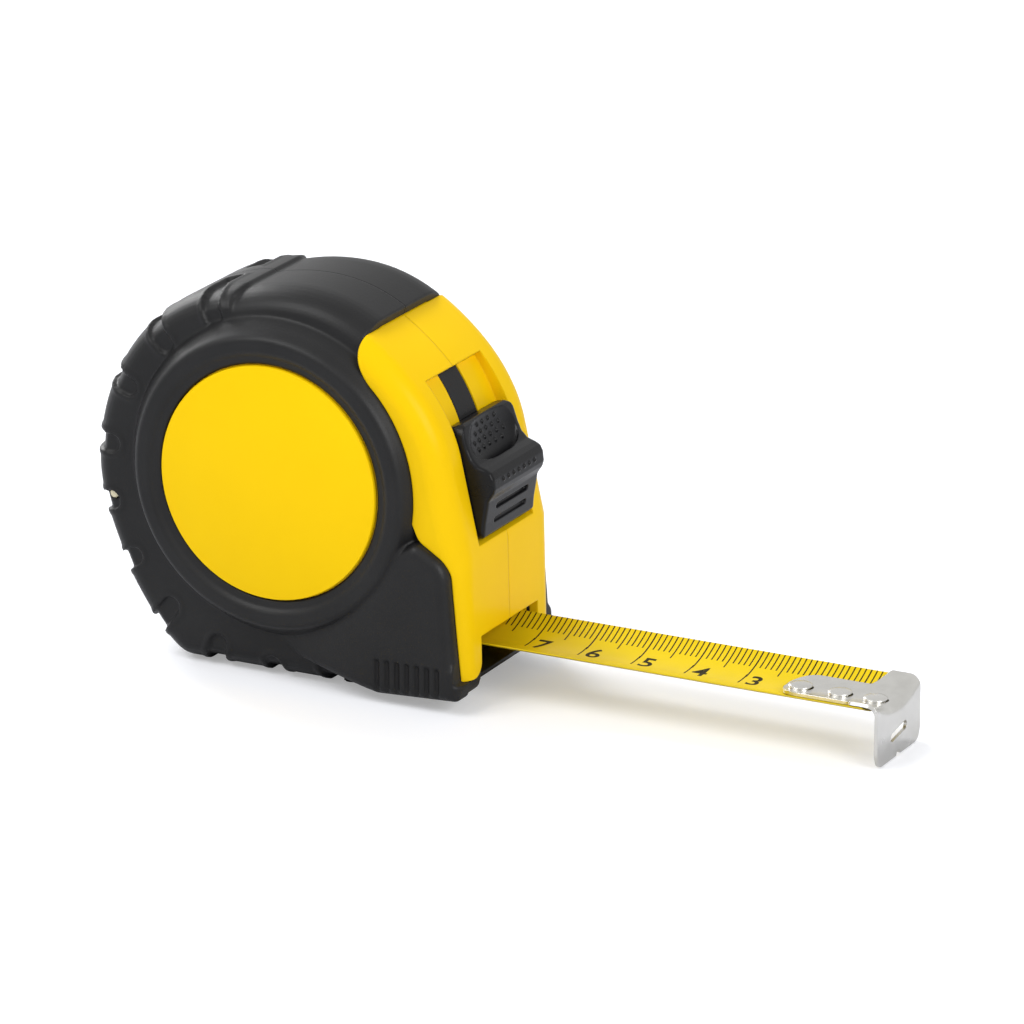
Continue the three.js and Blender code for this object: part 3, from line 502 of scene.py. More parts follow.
steelLook = {
    "metallic": 1.0, "specular": 0.5, "cloud": 260, "uneven": 0.08, "grain": 5200, "detail": 3,
    "strength": 0.05, "depth": 0.01, "edge": 0.12,
}


def surface(name, kind=plasticLook):
    look = {**plasticLook, **kind, **looks[name]}
    constants = {"Specular IOR Level": look["specular"], "Metallic": look["metallic"]}
    material, shader, start, place = newMaterial(name, constants)
    cloud = noise(start, place, look["cloud"])
    height = noise(start, place, look["grain"], look["detail"]) * look["relief"]
    if look["seam"]:
        height = height - seamLine(start, place) * look["seam"]
    feed(shader, {
        "Base Color": between(start, cloud, look["low"], look["high"]),
        "Roughness": look["roughness"] + cloud * look["uneven"],
        "Normal": bump(start, height, look["strength"], look["depth"], roundEdges(start, look["edge"]))})
    return material


bladeLook = {
    "zero": 110.0, "tickWidth": 0.25, "longTickBold": 1.15, "low": (0.66, 0.48, 0.004),
    "high": (0.73, 0.53, 0.006), "ink": (0.028, 0.021, 0.006), "farEdge": 9.25, "shortTick": 4.1,
    "middleTick": 5.6, "longTick": 7.4, "firstMark": 1.5, "roughness": 0.3, "uneven": 0.08, "cloud": 70,
    "grain": 1500, "strength": 0.1, "depth": 0.01, "coat": 0.08, "coatRoughness": 0.12, "specular": 0.1,
}


def bladeMaterial():
    constants = {
        "Specular IOR Level": bladeLook["specular"], "Coat Weight": bladeLook["coat"],
        "Coat Roughness": bladeLook["coatRoughness"],
    }
    material, shader, start, place = newMaterial("lacqueredBlade", constants)
    x = start.node("ShaderNodeSeparateXYZ", values={"Vector": place}, output="X") / millimetre
    y = start.node("ShaderNodeSeparateXYZ", values={"Vector": place}, output="Y") / millimetre
    distance = bladeLook["zero"] - x
    half = bladeLook["tickWidth"] / 2
    reach = bladeLook["farEdge"] - y

    def ticks(step, length, width):
        off = abs((distance + step / 2) % step - step / 2)
        return (off < width) * (reach < length)

    marks = ticks(1, bladeLook["shortTick"], half)
    marks = marks.maths("MAXIMUM", marks, ticks(5, bladeLook["middleTick"], half))
    marks = marks.maths("MAXIMUM", marks, ticks(10, bladeLook["longTick"], half * bladeLook["longTickBold"]))
    marks = marks * (distance > bladeLook["firstMark"])
    cloud = noise(start, place, bladeLook["cloud"])
    grain = noise(start, place, bladeLook["grain"], 2)
    ground = between(start, cloud, bladeLook["low"], bladeLook["high"])
    inked = start.node(
        "ShaderNodeMix", {"data_type": "RGBA"}, {0: marks, 6: ground, 7: (*bladeLook["ink"], 1)}, output=2)
    feed(shader, {
        "Base Color": inked, "Roughness": bladeLook["roughness"] + cloud * bladeLook["uneven"],
        "Normal": bump(start, grain, bladeLook["strength"], bladeLook["depth"])})
    return material


rubber = surface("mouldedRubber")
yellow = surface("glossyYellow")
discYellow = surface("satinDisc")
blackPlastic = surface("lockPlastic")
darkBand = surface("bandPlastic")
paleNylon = surface("paleNylon")
blackInk = surface("blackInk")
nickel = surface("nickelPlate", steelLook)
springSteel = surface("bluedSpring", steelLook)
bladePaint = bladeMaterial()
print("materials ready")


# Grips: the rubber over both case halves

grip = {
    "voxel": 0.3, "smoothing": 2, "sharpEdge": 50, "boxRear": -37.26, "boxLow": 0.05, "pastSeam": 1.5,
    "pocketAngles": (115, 137, 158, 178, 195.5, 213, 231, 249, 267, 285), "pocketWidth": 3.4,
    "pocketStart": 27, "pocketSpread": 5.5, "spine": 3.2, "pocketDepth": 0.8, "flankDepth": 0.55,
    "lipHeight": 0.14, "lipWidth": 0.8, "treadRoot": 25.2,
    "panelRoot": 25.4, "panelSink": 0.6, "panelCorners": {1: 1.2, 3: 1.1, 4: 0.9, 5: 1},
    "rampAngle": -110, "rampFoot": (4, 5), "rampStart": -6, "rampEnd": 20, "rampLeast": 0.05, "rampSteps": 20,
    "ribs": 7, "ribStart": 20.2, "ribPitch": 1.9, "ribWidth": 1.0, "ribDepth": 0.65, "ribHigh": 8.4,
    "ribEdge": 0.35,
}
ringProfile = [
    (20.75, 0), (20.75, 17.9), (20.95, 18.25), (21.4, 18.4), (22.2, 18.5), (22.7, 18.95), (23.2, 19.2),
    (25, 19.2), (25.4, 19.05), (25.9, 18.5), (26.6, 17.3), (27.2, 16.4), (27.9, 15.2), (28.4, 14.2),
    (28.4, 0),
]
core = {
    "start": 0.9, "segments": 5, "boss": 17.7, "bossRadius": 22, "shoulder": (25.2, 16.5),
    "bossFoot": (27, 13),
}
strap = {
    "x": -32.6, "z": 28.5, "room": 3, "half": 3.5, "edge": 0.6, "hole": 1.0, "holeHalf": 14.5,
    "pinHalf": 14.4, "pinRadius": 0.8, "pinEdge": 0.2,
}
screws = {
    "places": (polar(34.9, 223.5), polar(31.3, 147.7), Vector((30.6, 20.9))), "hole": 1.4, "headHole": 2.4,
    "holeSeat": 11.2, "clipHole": 1.8,
    "case": {"radius": 2.1, "height": 1.4, "shank": 1.1, "seat": 11.5, "end": -7.5},
    "clip": {"radius": 3, "height": 1.2, "shank": 1.5, "seat": 20.7, "end": 8},
}


def shellCore(clearance):  # the part of the shells that lies under the rubber
    under = case["wall"] + clearance
    outline = offset(caseCorners(core["start"]), -under)
    half, edge, inset = (case[key] - under for key in ("bodyHalf", "bodyEdge", "bodyInset"))
    body = roundedSlab(outline, half, edge, inset, core["segments"])
    side = case["frontHalf"] - clearance
    panel = slab(offset(panelCorners(), -under), -side, side)
    (shoulder, shoulderHalf), (foot, footHalf) = core["shoulder"], core["bossFoot"]
    bossHalf = core["boss"] - clearance
    boss = bothSides([
        (0, 0), (0, bossHalf), (core["bossRadius"] - clearance, bossHalf),
        (shoulder, shoulderHalf - clearance), (foot, footHalf - clearance), (foot, 0)], 64)
    return joined(body, panel, boss)


def columnLimit(clearance):  # the column's foot has a round inner corner beside the mouth
    low, side, radius = case["columnFoot"] + clearance, case["channelHalf"], case["columnCorner"]
    turns = [math.pi / 2 * i / 8 for i in range(9)]
    inner = [(side + radius - radius * math.sin(t), low + radius - radius * math.cos(t)) for t in turns]
    wide, high = cutReach["y"], cutReach["high"]
    half = inner[::-1] + [(wide, low), (wide, high)]
    return alongX([(-y, z) for y, z in half[::-1]] + half, -cutReach["x"], cutReach["x"])


def channel(start, low, high):
    half = case["channelHalf"]
    return block(start, case["frontReach"] + cutReach["front"], -half, half, low, high)


def mouth():
    return channel(case["mouthStart"], case["channelLow"], case["channelHigh"])


def chinNotch():
    return channel(case["chinStart"], case["below"], case["channelLow"])


def strapNotch():
    x, z, room, half = strap["x"], strap["z"], strap["room"], strap["half"]
    return block(-cutReach["x"], x + room, -half, half, z - room, z + room, strap["edge"])


def pocketColumn(index, extra, side, spine=None):  # a round-ended slot that runs out past the tread
    inner = grip["pocketStart"] + grip["pocketSpread"] * min(1, index / 4)
    half = grip["pocketWidth"] / 2 + extra
    start = inner - extra
    points = [Vector((cutReach["x"], -half)), Vector((cutReach["x"], half))]
    for i in range(17):
        turn = math.pi / 2 + math.pi * i / 16
        points.append(Vector((start + half + half * math.cos(turn), half * math.sin(turn))))
    rotation = Matrix.Rotation(math.radians(grip["pocketAngles"][index]), 2)
    centre = Vector((0, case["reelHeight"]))
    placed = [rotation @ p + centre for p in points]
    spine = grip["spine"] - extra if spine is None else spine
    return slab(placed, *sorted((side * spine, side * cutReach["y"])))


def treadLugs(grow):
    inner = arc(grip["treadRoot"], case["insideAngle"], case["crownEnd"])
    points = offset(backPoints() + inner, grow)
    return roundedSlab(points, case["bodyHalf"] + grow, case["bodyEdge"], case["bodyInset"])


def sidePanel():  # its rear runs out in a long ramp towards the tread
    inner, outer = case["bodyHalf"] - grip["panelSink"], case["panelFace"]
    rear = arc(grip["panelRoot"], windowShape["panelStart"], grip["rampAngle"])
    corners = footPoints() + windowEdge() + rear + [Vector(grip["rampFoot"])]
    bm = prism(eased(corners, grip["panelCorners"]), -outer, -inner)
    rim = [e for e in bm.edges if max(v.co.y for v in e.verts) < 0.001 - outer]
    bevelled(bm, rim, case["panelInset"], 6)
    low, high, steps = grip["rampStart"], grip["rampEnd"], grip["rampSteps"]
    for i in range(steps + 1):
        sliced(bm, (low + (high - low) * i / steps, 0, 0), (1, 0, 0))
    for vert in bm.verts:
        share = max(grip["rampLeast"], smoothStep(vert.co.x, low, high))
        vert.co.y = (vert.co.y + inner) * share - inner
    bmesh.ops.triangulate(bm, faces=bm.faces)
    return asObject(bm)


def footRibs():
    face = -case["panelFace"] + grip["ribDepth"]
    starts = [grip["ribStart"] + grip["ribPitch"] * i for i in range(grip["ribs"])]
    return [
        block(x, x + grip["ribWidth"], -cutReach["y"], face, case["below"], grip["ribHigh"], grip["ribEdge"])
        for x in starts]


def gripSkin():  # the near half, with some of the far half beyond the seam
    half, edge, inset, wide = case["bodyHalf"], case["bodyEdge"], case["bodyInset"], cutReach["y"]
    places = range(len(grip["pocketAngles"]))
    dents = [pocketColumn(i, 0, -1, half - grip["flankDepth"]) for i in places]
    body = cut(roundedSlab(caseOutline(grip["pocketDepth"]), half, edge, inset), *dents)
    foot = roundedSlab(footOutline(), case["panelFace"], case["panelEdge"], case["panelInset"])
    panel = joined(sidePanel(), foot)
    lugs = treadLugs(0)
    lips = [kept(treadLugs(grip["lipHeight"]), pocketColumn(i, grip["lipWidth"], -1)) for i in places]
    pockets = [pocketColumn(i, 0, -1) for i in places]
    tread = cut(joined(lugs, *lips), *pockets)
    outside = joined(body, tread, bothSides(ringProfile), cut(panel, *footRibs()))
    outside = kept(outside, block(
        grip["boxRear"], cutReach["x"], -wide, grip["pastSeam"], grip["boxLow"], cutReach["high"]))
    bore = rod(ringProfile[0][0], -wide, wide, steps=128)
    hollow = shellCore(case["joint"])
    window = kept(slab(windowOutline(), -wide, wide), columnLimit(0))
    pin = rod(strap["hole"], -strap["holeHalf"], strap["holeHalf"], strap["x"], strap["z"])
    return cut(outside, window, hollow, bore, chinNotch(), mouth(), strapNotch(), pin)


skin = softened(gripSkin(), grip["voxel"], grip["smoothing"])
nearGrip = kept(skin, sideOfSeam(-1))
headHoles = [rod(screws["headHole"], 0, cutReach["y"], p.x, p.y) for p in screws["places"]]
farGrip = cut(mirrored(nearGrip), *headHoles)
finished(nearGrip, "gripNear", rubber, "case", ["grip_near"], grip["sharpEdge"])
finished(farGrip, "gripFar", rubber, "case", ["grip_far"], grip["sharpEdge"])
print("grips", len(nearGrip.data.polygons), len(farGrip.data.polygons))


# Shells: the yellow halves, with the recess and slot of the thumb lock

shell = {
    "recessTop": 37, "recessFoot": -13, "recessHalf": 9.9, "recessFloor": 30.7, "recessReach": 45,
    "slotHalf": 3.4, "slotFoot": -9.5, "bandInner": 27.5, "tunnelTop": 57, "tunnelRoof": 31, "hollow": 19.5,
    "hollowHalf": 15.9, "shoeOuter": 30.4, "shoeFoot": -64, "shoeTop": -26, "shoeHalf": 4.3,
}


def shellWhole():
    reach = case["frontReach"]
    outline = [Vector((0, case["below"])), Vector((reach, case["below"]))] + [sunk(p) for p in crownPoints()]
    front = roundedSlab(outline, case["frontHalf"], case["frontEdge"], case["frontEdge"], 12)
    wide = cutReach["y"]
    window = kept(slab(offset(windowOutline(), -case["joint"]), -wide, wide), columnLimit(case["joint"]))
    return joined(shellCore(0), kept(front, window))


def shellHollow():
    inside, flat, wall = shell["hollowHalf"], case["chamberHalf"], case["chamberRadius"]
    profile = [(0, inside), (shell["hollow"], inside), (shell["hollow"], flat), (wall, flat)]
    chamber = turned([(r, -y) for r, y in profile] + profile[::-1])
    shoe = sector(shell["bandInner"], shell["shoeOuter"], shell["shoeFoot"], shell["shoeTop"])
    return joined(chamber, mouth(), slab(shoe, -shell["shoeHalf"], shell["shoeHalf"]))


def lockRecess():
    wide, reach, top = shell["recessHalf"], shell["recessReach"], shell["recessTop"]
    pocket = slab(sector(shell["recessFloor"], reach, shell["recessFoot"], top), -wide, wide)
    narrow, inner, foot = shell["slotHalf"], shell["bandInner"], shell["slotFoot"]
    slot = slab(sector(inner, reach, foot, top), -narrow, narrow)
    tunnel = slab(sector(inner, shell["tunnelRoof"], foot, shell["tunnelTop"]), -narrow, narrow)
    return joined(pocket, slot, tunnel)


wholeShell = cut(shellWhole(), shellHollow(), lockRecess(), chinNotch(), strapNotch())
nearShell = kept(copied(wholeShell), sideOfSeam(-1))
farShell = kept(wholeShell, sideOfSeam(1))
screwHoles = [
    rod(radius, start, cutReach["y"], p.x, p.y) for radius, start in
    ((screws["hole"], case["below"]), (screws["headHole"], screws["holeSeat"])) for p in screws["places"]]
farShell = cut(farShell, *screwHoles, rod(screws["clipHole"], 0, cutReach["y"]))
finished(nearShell, "shellNear", yellow, "case", ["shell_near"])
finished(farShell, "shellFar", yellow, "case", ["shell_far"])
print("shells", len(nearShell.data.polygons), len(farShell.data.polygons))


# Side discs, strap pin and chin plate

discSizes = {"radius": 20.6, "face": 18.8, "thickness": 0.8, "edge": 0.25, "bevel": 0.3}
chinSizes = {"start": 21.3, "half": 10.1, "thickness": 0.8, "drop": 0.15, "edge": 0.15}


def sideDisc(side):
    radius, face, edge = discSizes["radius"], discSizes["face"], discSizes["edge"]
    back, bevel = face - discSizes["thickness"], edge * discSizes["bevel"]
    profile = [
        (0, back), (radius, back), (radius, face - edge), (radius - bevel, face - bevel),
        (radius - edge, face), (0, face)]
    return turned([(r, side * y) for r, y in profile], steps=160)


def strapPin():
    radius, half, edge = strap["pinRadius"], strap["pinHalf"], strap["pinEdge"]
    end = [(0, half), (radius - edge, half), (radius, half - edge)]
    return turned([(r, -y) for r, y in end] + end[::-1], strap["x"], strap["z"], 32)


def chinPlate():
    thickness, half = chinSizes["thickness"], chinSizes["half"]
    low = case["channelLow"] - chinSizes["drop"] - thickness
    return block(chinSizes["start"], case["chinEnd"], -half, half, low, low + thickness, chinSizes["edge"])


finished(sideDisc(-1), "sideDiscNear", discYellow, "case", ["side_disc_near"])
farDisc = cut(sideDisc(1), rod(screws["clipHole"], 0, cutReach["y"]))
finished(farDisc, "sideDiscFar", discYellow, "case", ["side_disc_far"])
finished(strapPin(), "strapPin", paleNylon, "case", ["strap_pin"])
finished(chinPlate(), "chinPlate", blackPlastic, "case", ["chin_plate"])
print("discs, pin and chin plate")


# Thumb lock

button = {
    "top": 21, "foot": -12.3, "half": 9.5, "edge": 0.8, "inset": 0.5, "under": 31, "height": 7.4,
    "profile": [
        (0, 0.36), (0.03, 0.43), (0.215, 0.45), (0.3, 0.5), (0.36, 0.62), (0.39, 0.8), (0.42, 0.93),
        (0.47, 0.99), (0.55, 1), (0.59, 0.96), (0.62, 0.9), (0.64, 0.86), (0.66, 0.83), (0.72, 0.81),
        (0.85, 0.78), (0.95, 0.8), (0.99, 0.72), (1, 0.6)],
    "voxel": 0.13, "smoothing": 3, "lowCorner": 1.8, "highCorner": 2.6,
    "stemHalf": 3.1, "stem": (28.7, 31.8, -8, 18, 16), "strip": (28.7, 30.7, -8, 40, 40),  # as in sector
    "dish": (0.2, 0.48), "dishSize": (1.35, 8.3, 5.5), "dishTurn": -14,
    "grooves": (0.73, 0.85), "grooveHigh": 0.8, "grooveSize": (1.5, 11.5, 1.0), "grooveEdge": 0.35,
    # Each row of dots: its place along the button, their number and pitch
    "dot": 0.37, "dotRows": ((0.07, 4, 2.1), (0.14, 5, 2.1), (0.21, 6, 2.1), (0.28, 5, 2.1), (0.5, 7, 1.9)),
}
bandSizes = {"inner": 27.5, "outer": 28.4, "foot": -58, "top": 40, "half": 5, "edge": 0.15}


def buttonAngle(along):
    return button["top"] + (button["foot"] - button["top"]) * along


def buttonPoint(along, high):
    return polar(button["under"] + button["height"] * high, buttonAngle(along))


def roundedFrame(half, low, high, lowRadius, highRadius):  # points of Y and Z around a rectangle
    points = []
    corners = ((1, 1), (-1, 1), (-1, -1), (1, -1))
    for i, (side, up) in enumerate(corners):
        edge, radius = (high, highRadius) if up > 0 else (low, lowRadius)
        y, z = side * (half - radius), edge - up * radius
        for j in range(9):
            turn = math.pi / 2 * (i + j / 8)
            points.append((y + radius * math.cos(turn), z + radius * math.sin(turn)))
    return points


def placedTool(bm, turn, centre):  # turns a cutter about Y and moves it to its place
    bmesh.ops.rotate(bm, verts=bm.verts, matrix=Matrix.Rotation(math.radians(turn), 3, "Y"))
    bmesh.ops.translate(bm, verts=bm.verts, vec=(centre.x, 0, centre.y))
    return asObject(bm)


def buttonDish():
    bm = bmesh.new()
    bmesh.ops.create_icosphere(bm, subdivisions=4, radius=1)
    bmesh.ops.scale(bm, verts=bm.verts, vec=button["dishSize"])
    return placedTool(bm, button["dishTurn"], buttonPoint(*button["dish"]))


def buttonGroove(along):
    bm = bmesh.new()
    bmesh.ops.create_cube(bm, size=1)
    bmesh.ops.scale(bm, verts=bm.verts, vec=button["grooveSize"])
    bevelled(bm, bm.edges[:], button["grooveEdge"], 3)
    return placedTool(bm, -buttonAngle(along), buttonPoint(along, button["grooveHigh"]))


def buttonBody():
    outer = [buttonPoint(along, high) for along, high in button["profile"]]
    outline = arc(button["under"], button["top"], button["foot"], 24) + outer[::-1]
    body = roundedSlab(outline, button["half"], button["edge"], button["inset"], 4)
    heights = [p.y for p in outer]
    rounding = roundedFrame(
        button["half"], min(heights), max(heights), button["lowCorner"], button["highCorner"])
    body = kept(body, alongX(rounding, 10, cutReach["x"]))
    half = button["stemHalf"]
    stem = joined(slab(sector(*button["stem"]), -half, half), slab(sector(*button["strip"]), -half, half))
    return cut(joined(body, stem), buttonDish(), *[buttonGroove(along) for along in button["grooves"]])


def dotsOn(body):  # raised grip dots, in staggered rows on the dished pad and in a row on the ridge
    bm = bmesh.new()
    bm.from_mesh(body.data)
    tree = BVHTree.FromBMesh(bm)
    for along, count, pitch in button["dotRows"]:
        for i in range(count):
            y = (i - (count - 1) / 2) * pitch
            aim = buttonPoint(along, 0)
            out = (aim - Vector((0, case["reelHeight"]))).normalized()
            far = aim + out * 20
            hit = tree.ray_cast(Vector((far.x, y, far.y)), Vector((-out.x, 0, -out.y)))[0]
            if hit:
                bmesh.ops.create_icosphere(
                    bm, subdivisions=2, radius=button["dot"], matrix=Matrix.Translation(hit))
    bpy.data.objects.remove(body)
    return asObject(bm)


thumb = softened(dotsOn(buttonBody()), button["voxel"], button["smoothing"])
finished(thumb, "thumbButton", blackPlastic, "lock", ["thumb_button"], 0)
bandShape = sector(bandSizes["inner"], bandSizes["outer"], bandSizes["foot"], bandSizes["top"], 72)
band = roundedSlab(bandShape, bandSizes["half"], bandSizes["edge"], bandSizes["edge"], 2)
finished(band, "lockBand", darkBand, "lock", ["lock_band"])
print("thumb lock", len(thumb.data.polygons))


# Blade and hook

blade = {
    "half": 9.5, "thickness": 0.3, "curve": 18, "flatShare": 0.03, "low": 8.0, "flatEnd": 2, "curved": 30,
    "coil": 26.6, "coilGap": 0.6, "end": 106.2, "strip": 0.16, "rows": 120, "columns": 20,
    "rivetHole": (2.5, 2.2), "digits": (("3", 30), ("4", 40), ("5", 50), ("6", 60), ("7", 70)),
    "digitHeight": 3.8, "capShare": 0.7, "digitBold": 0.09, "digitY": -1.2, "digitShift": 2.2,
    "digitSlices": 15, "slicePitch": 0.3, "printed": 0.015, "markX": -2.3, "markWidth": 0.26, "markHeight": 4,
}
hook = {
    "face": 109, "thickness": 0.6, "bend": 2, "half": 8.6, "low": 0.15, "corner": 2, "tongue": 20.6,
    "tongueHalf": 4.8, "tip": 4.4, "tipShare": 0.03, "flareStart": 7.5, "flareEnd": 5, "top": 9.1,
    "curveLess": 0.5, "rows": 150, "columns": 28, "rivetSlot": (3.8, 2.2), "slotShift": 0.4,
    "slot": (6.5, 1.6, 4.2, 8), "notch": (1.76, 1.6, 0.15, 0),  # as in endSlot
}
rivetSizes = {  # places are shares of the tongue, profiles are radius and height
    "places": (0.126, 0.476, 0.791), "shank": 0.8, "footRise": 0.12, "headRise": 0.05,
    "foot": ((0, -0.3), (1.3, -0.3), (1.5, -0.15), (1.5, 0)),
    "head": ((2, 0), (2.05, 0.15), (2, 0.3), (1.8, 0.42), (1.3, 0.52), (0.6, 0.58), (0, 0.59)),
}


def bladePoint(x, s, rise):
    share = smoothStep(x, blade["flatEnd"], blade["curved"])
    radius = blade["curve"] / max(share, blade["flatShare"])
    flatLow = case["reelHeight"] - blade["coil"] - blade["coilGap"]
    under = flatLow + (blade["low"] - flatLow) * share
    angle = s / radius
    return Vector((x, (radius - rise) * math.sin(angle), under + radius - (radius - rise) * math.cos(angle)))


def slotPrism(length, width, depth):
    bm = bmesh.new()
    bmesh.ops.create_circle(bm, cap_ends=True, segments=32, radius=width / 2)
    for vert in bm.verts:
        vert.co.x += math.copysign((length - width) / 2, vert.co.x)
    return drawnOut(bm, (0, 0, depth))


def upright(length, width, x):  # a vertical slot through the blade and the tongue
    bm = slotPrism(length, width, 30)
    bmesh.ops.translate(bm, verts=bm.verts, vec=(x, 0, -10))
    return asObject(bm)


def endSlot(length, width, height, tilt):  # a slot through the hook's plate, along X
    bm = slotPrism(length, width, 10)
    turn = Matrix.Rotation(math.radians(tilt), 3, "X") @ Matrix(((0, 0, 1), (1, 0, 0), (0, 1, 0)))
    bmesh.ops.transform(bm, verts=bm.verts, matrix=turn.to_4x4())
    bmesh.ops.translate(bm, verts=bm.verts, vec=(hook["face"] - 5, 0, height))
    return asObject(bm)


tongueStart = hook["face"] - hook["tongue"]
rivetPlaces = [tongueStart + share * hook["tongue"] for share in rivetSizes["places"]]


def bladeStrip():
    length, width = blade["end"], 2 * blade["half"]
    bm = bmesh.new()
    bmesh.ops.create_grid(bm, x_segments=blade["rows"], y_segments=blade["columns"], size=0.5)
    for vert in bm.verts:
        vert.co = bladePoint((vert.co.x + 0.5) * length, vert.co.y * width, blade["thickness"])
    holes = [upright(*blade["rivetHole"], x) for x in rivetPlaces]
    return cut(thickened(bm, blade["strip"]), *holes)


def digitMark(text, distance):  # a printed digit with a short line beside it, laid on the curved blade
    curve = bpy.data.curves.new("digit", "FONT")
    curve.body = text
    curve.size = blade["digitHeight"] / blade["capShare"]
    curve.offset = blade["digitBold"]
    curve.align_x = "CENTER"
    source = linked("digit", curve)
    bpy.context.view_layer.update()
    mesh = bpy.data.meshes.new_from_object(source)
    bpy.data.objects.remove(source)
    bm = bmesh.new()
    bm.from_mesh(mesh)
    for i in range(blade["digitSlices"]):
        sliced(bm, (0, i * blade["slicePitch"], 0), (0, 1, 0))
    line = bmesh.ops.create_grid(bm, x_segments=1, y_segments=6, size=0.5)["verts"]
    bmesh.ops.scale(bm, verts=line, vec=(blade["markWidth"], blade["markHeight"], 1))
    bmesh.ops.translate(bm, verts=line, vec=(blade["markX"], blade["markHeight"] / 2, 0))
    for vert in bm.verts:
        x = bladeLook["zero"] - distance + blade["digitShift"] + vert.co.x
        vert.co = bladePoint(x, blade["digitY"] + vert.co.y, blade["thickness"] + blade["printed"])
    for face in bm.faces:
        if face.normal.z < 0:
            face.normal_flip()
    return asObject(bm, "digit")


def hookSheet():  # s runs along the sheet: the tongue, then the bend, then the plate
    face, radius, low, corner = hook["face"], hook["bend"], hook["low"], hook["corner"]
    flat = hook["tongue"] - radius
    quarter = math.pi / 2 * radius
    length = flat + quarter + hook["top"] - radius - low
    curve = blade["curve"] - hook["curveLess"]
    bm = bmesh.new()
    bmesh.ops.create_grid(bm, x_segments=hook["rows"], y_segments=hook["columns"], size=0.5)
    for vert in bm.verts:
        s = (vert.co.x + 0.5) * length
        tip = math.sqrt(max(0, 1 - (1 - min(1, s / hook["tip"] + hook["tipShare"])) ** 2))
        flare = smoothStep(s, hook["tongue"] - hook["flareStart"], hook["tongue"] - hook["flareEnd"])
        wide = hook["tongueHalf"] * tip
        y = 2 * vert.co.y * (wide + (hook["half"] - wide) * flare)
        top = hook["top"] + curve - math.sqrt(curve ** 2 - y ** 2)
        if s <= flat:
            vert.co = (tongueStart + s, y, top)
        elif s <= flat + quarter:
            angle = (s - flat) / radius
            vert.co = (face - radius + radius * math.sin(angle), y, top - radius + radius * math.cos(angle))
        else:
            beyond = min(1, max(0, abs(y) - (hook["half"] - corner)) / corner)
            end = low + corner * (1 - math.sqrt(1 - beyond ** 2))
            start = top - radius
            vert.co = (face, y, start + (end - start) * (s - flat - quarter) / (length - flat - quarter))
    return thickened(bm, hook["thickness"])


def rivet(x):
    shank, foot = rivetSizes["shank"], blade["low"] + rivetSizes["footRise"]
    head = hook["top"] + rivetSizes["headRise"]
    outline = [(radius, foot + z) for radius, z in rivetSizes["foot"]] + [(shank, foot), (shank, head)]
    outline += [(radius, head + z) for radius, z in rivetSizes["head"]]
    bm = bmesh.new()
    verts = [bm.verts.new((x + radius, 0, z)) for radius, z in outline]
    for a, b in zip(verts, verts[1:]):
        bm.edges.new((a, b))
    return spun(bm, (x, 0, 0), (0, 0, 1), 48)


strip = bladeStrip()
digits = [digitMark(text, distance) for text, distance in blade["digits"]]
strip.data.materials.clear()
strip.data.materials.append(bladePaint)
strip.data.materials.append(blackInk)
bm = bmesh.new()
bm.from_mesh(strip.data)
for piece in digits:
    first = len(bm.faces)
    bm.from_mesh(piece.data)
    bm.faces.ensure_lookup_table()
    for face in bm.faces[first:]:
        face.material_index = 1
    bpy.data.objects.remove(piece)
bm.to_mesh(strip.data)
bm.free()
finished(strip, "bladeStrip", None, "blade", ["blade"])
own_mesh(strip)

hookSlots = [upright(*hook["rivetSlot"], x + hook["slotShift"]) for x in rivetPlaces]
hookPiece = cut(hookSheet(), endSlot(*hook["slot"]), endSlot(*hook["notch"]), *hookSlots)
finished(hookPiece, "endHook", nickel, "hook", ["end_hook"])
for i, x in enumerate(rivetPlaces):
    finished(rivet(x), f"hookRivet{i + 1}", nickel, "blade", [f"hook_rivet_{i + 1}"])
print("blade and hook")


# Belt clip and screws on the far side

clip = {
    "half": 7.5, "thickness": 0.9, "gap": 4.4, "leg": 19.5, "rise": 20, "drop": 10, "arm": 18, "flare": 1.6,
    "flareDrop": 3.4,
}


def beltClip():
    leg, thick, reelHeight = clip["leg"], clip["thickness"], case["reelHeight"]
    arm = leg + thick + clip["gap"]
    outer = (arm + thick - leg) / 2
    inner = outer - thick
    middle, top = leg + outer, reelHeight + clip["rise"]
    low = reelHeight - clip["arm"]
    lowest, foot = low - clip["flareDrop"], reelHeight - clip["drop"]
    turns = [math.pi * i / 24 for i in range(25)]
    path = [(leg, foot)] + [(middle - outer * math.cos(t), top + outer * math.sin(t)) for t in turns]
    path += [
        (arm + thick, low), (arm + thick + clip["flare"], lowest), (arm + clip["flare"], lowest), (arm, low)]
    path += [(middle + inner * math.cos(t), top + inner * math.sin(t)) for t in turns] + [(leg + thick, foot)]
    sheet = alongX(path, -clip["half"], clip["half"])
    return cut(sheet, rod(screws["clipHole"], 0, leg + thick + 1))


def screw(x, z, radius, height, shank, seat, end):
    face = seat + height
    profile = [
        (0, end), (shank * 0.6, end), (shank, end + 0.8), (shank, seat), (radius, seat),
        (radius, face - height * 0.45), (radius * 0.85, face - height * 0.15), (radius * 0.5, face),
        (0, face)]
    long, thin = radius * 0.6, radius * 0.14
    floor = face - height * 0.5
    return cut(
        turned(profile, x, z, 40), block(x - long, x + long, floor, face + 1, z - thin, z + thin),
        block(x - thin, x + thin, floor, face + 1, z - long, z + long))


finished(beltClip(), "beltClip", nickel, "case", ["belt_clip"])
clipScrew = screw(0, case["reelHeight"], **screws["clip"])
finished(clipScrew, "clipScrew", nickel, "case", ["clip_screw"])
for i, p in enumerate(screws["places"]):
    caseScrew = screw(p.x, p.y, **screws["case"])
    finished(caseScrew, f"caseScrew{i + 1}", nickel, "case", [f"case_screw_{i + 1}"])

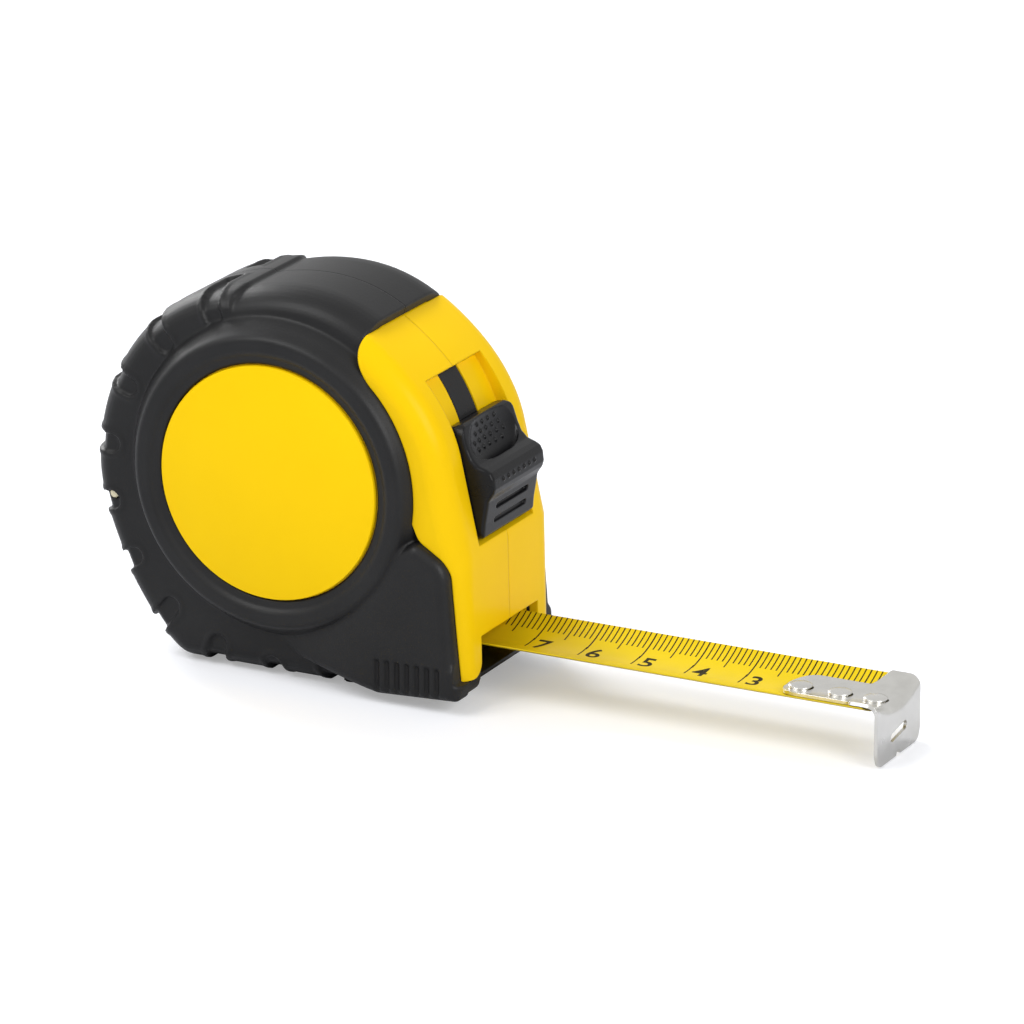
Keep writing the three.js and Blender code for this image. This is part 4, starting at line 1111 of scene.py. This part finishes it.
hidden = {
    "centre_post": blackPlastic, "mainspring": springSteel, "reel_drum": paleNylon, "reel_cover": paleNylon,
    "blade_coil": bladePaint, "brake_shoe": rubber,
}
for name, material in hidden.items():
    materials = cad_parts[name].data.materials
    materials.clear()
    materials.append(material)
print("clip, screws and reel")


# Floor, light and camera

studio = {
    "lights": {  # power, size, place and whether reflections show it
        "keyLight": (10.0, 0.8, (-0.5, -0.75, 1.15), True), "fillLight": (9.0, 0.6, (1.1, -0.45, 0.7), True),
        "topLight": (10.0, 0.5, (-0.75, 0.5, 1.25), False), "rimLight": (5.5, 0.5, (-1.0, 0.65, 0.5), True),
    },
    "aim": (0.02, 0, 0.03), "world": 0.42, "reflected": 0.8, "floor": (0.7, 0.71, 0.745), "floorTone": 0.995,
    "floorSize": 6000, "floorGlow": 0.33, "floorRoughness": 0.6, "floorSpecular": 0.1,
}


def softLight(name, power, size, place, mirrored):
    lamp = bpy.data.lights.new(name, "AREA")
    lamp.energy = power
    lamp.size = size
    light = linked(name, lamp)
    light.location = place
    light.rotation_euler = (Vector(studio["aim"]) - Vector(place)).to_track_quat("-Z", "Y").to_euler()
    light.visible_glossy = mirrored


for name, values in studio["lights"].items():
    softLight(name, *values)

world = bpy.data.worlds.new("studio")
bpy.context.scene.world = world
world.use_nodes = True
background = world.node_tree.nodes["Background"]
start = Link(world.node_tree, None)
cameraRay = start.node("ShaderNodeLightPath", output="Is Camera Ray")
glossyRay = start.node("ShaderNodeLightPath", output="Is Glossy Ray")
seen, mirrored = 1 - studio["world"], studio["reflected"] - studio["world"]
strength = cameraRay * seen + glossyRay * mirrored + studio["world"]
world.node_tree.links.new(strength.socket, background.inputs["Strength"])
background.inputs["Color"].default_value = (1, 1, 1, 1)

bm = bmesh.new()
bmesh.ops.create_grid(bm, x_segments=1, y_segments=1, size=studio["floorSize"])
floor = asObject(bm, "floor")
floor.data.transform(Matrix.Scale(millimetre, 4))
floorLook = {"Roughness": studio["floorRoughness"], "Specular IOR Level": studio["floorSpecular"]}
floorMaterial, shader, start, place = newMaterial("paleFloor", floorLook)
low = tuple(v * studio["floorTone"] for v in studio["floor"])
feed(shader, {"Base Color": between(start, noise(start, place, 3), low, studio["floor"])})
shader.inputs["Emission Color"].default_value = (1, 1, 1, 1)
cameraRay = start.node("ShaderNodeLightPath", output="Is Camera Ray")
glow = cameraRay * studio["floorGlow"]
floorMaterial.node_tree.links.new(glow.socket, shader.inputs["Emission Strength"])
floor.data.materials.append(floorMaterial)

view = {
    "place": (0.54912, -0.99435, 0.40527), "azimuth": 27.239, "height": 18.472, "sensor": 36,
    "focal": 6978.5 / 1024, "shiftX": -0.0019, "shiftY": -0.0009,
}
cameraData = bpy.data.cameras.new("camera")
cameraData.sensor_width = view["sensor"]
cameraData.lens = view["focal"] * view["sensor"]
cameraData.shift_x = view["shiftX"]
cameraData.shift_y = view["shiftY"]
camera = linked("camera", cameraData)
camera.location = view["place"]
camera.rotation_euler = (math.radians(90 - view["height"]), 0, math.radians(view["azimuth"]))
bpy.context.scene.camera = camera
bpy.context.scene.view_settings.view_transform = "Standard"

print("finished")
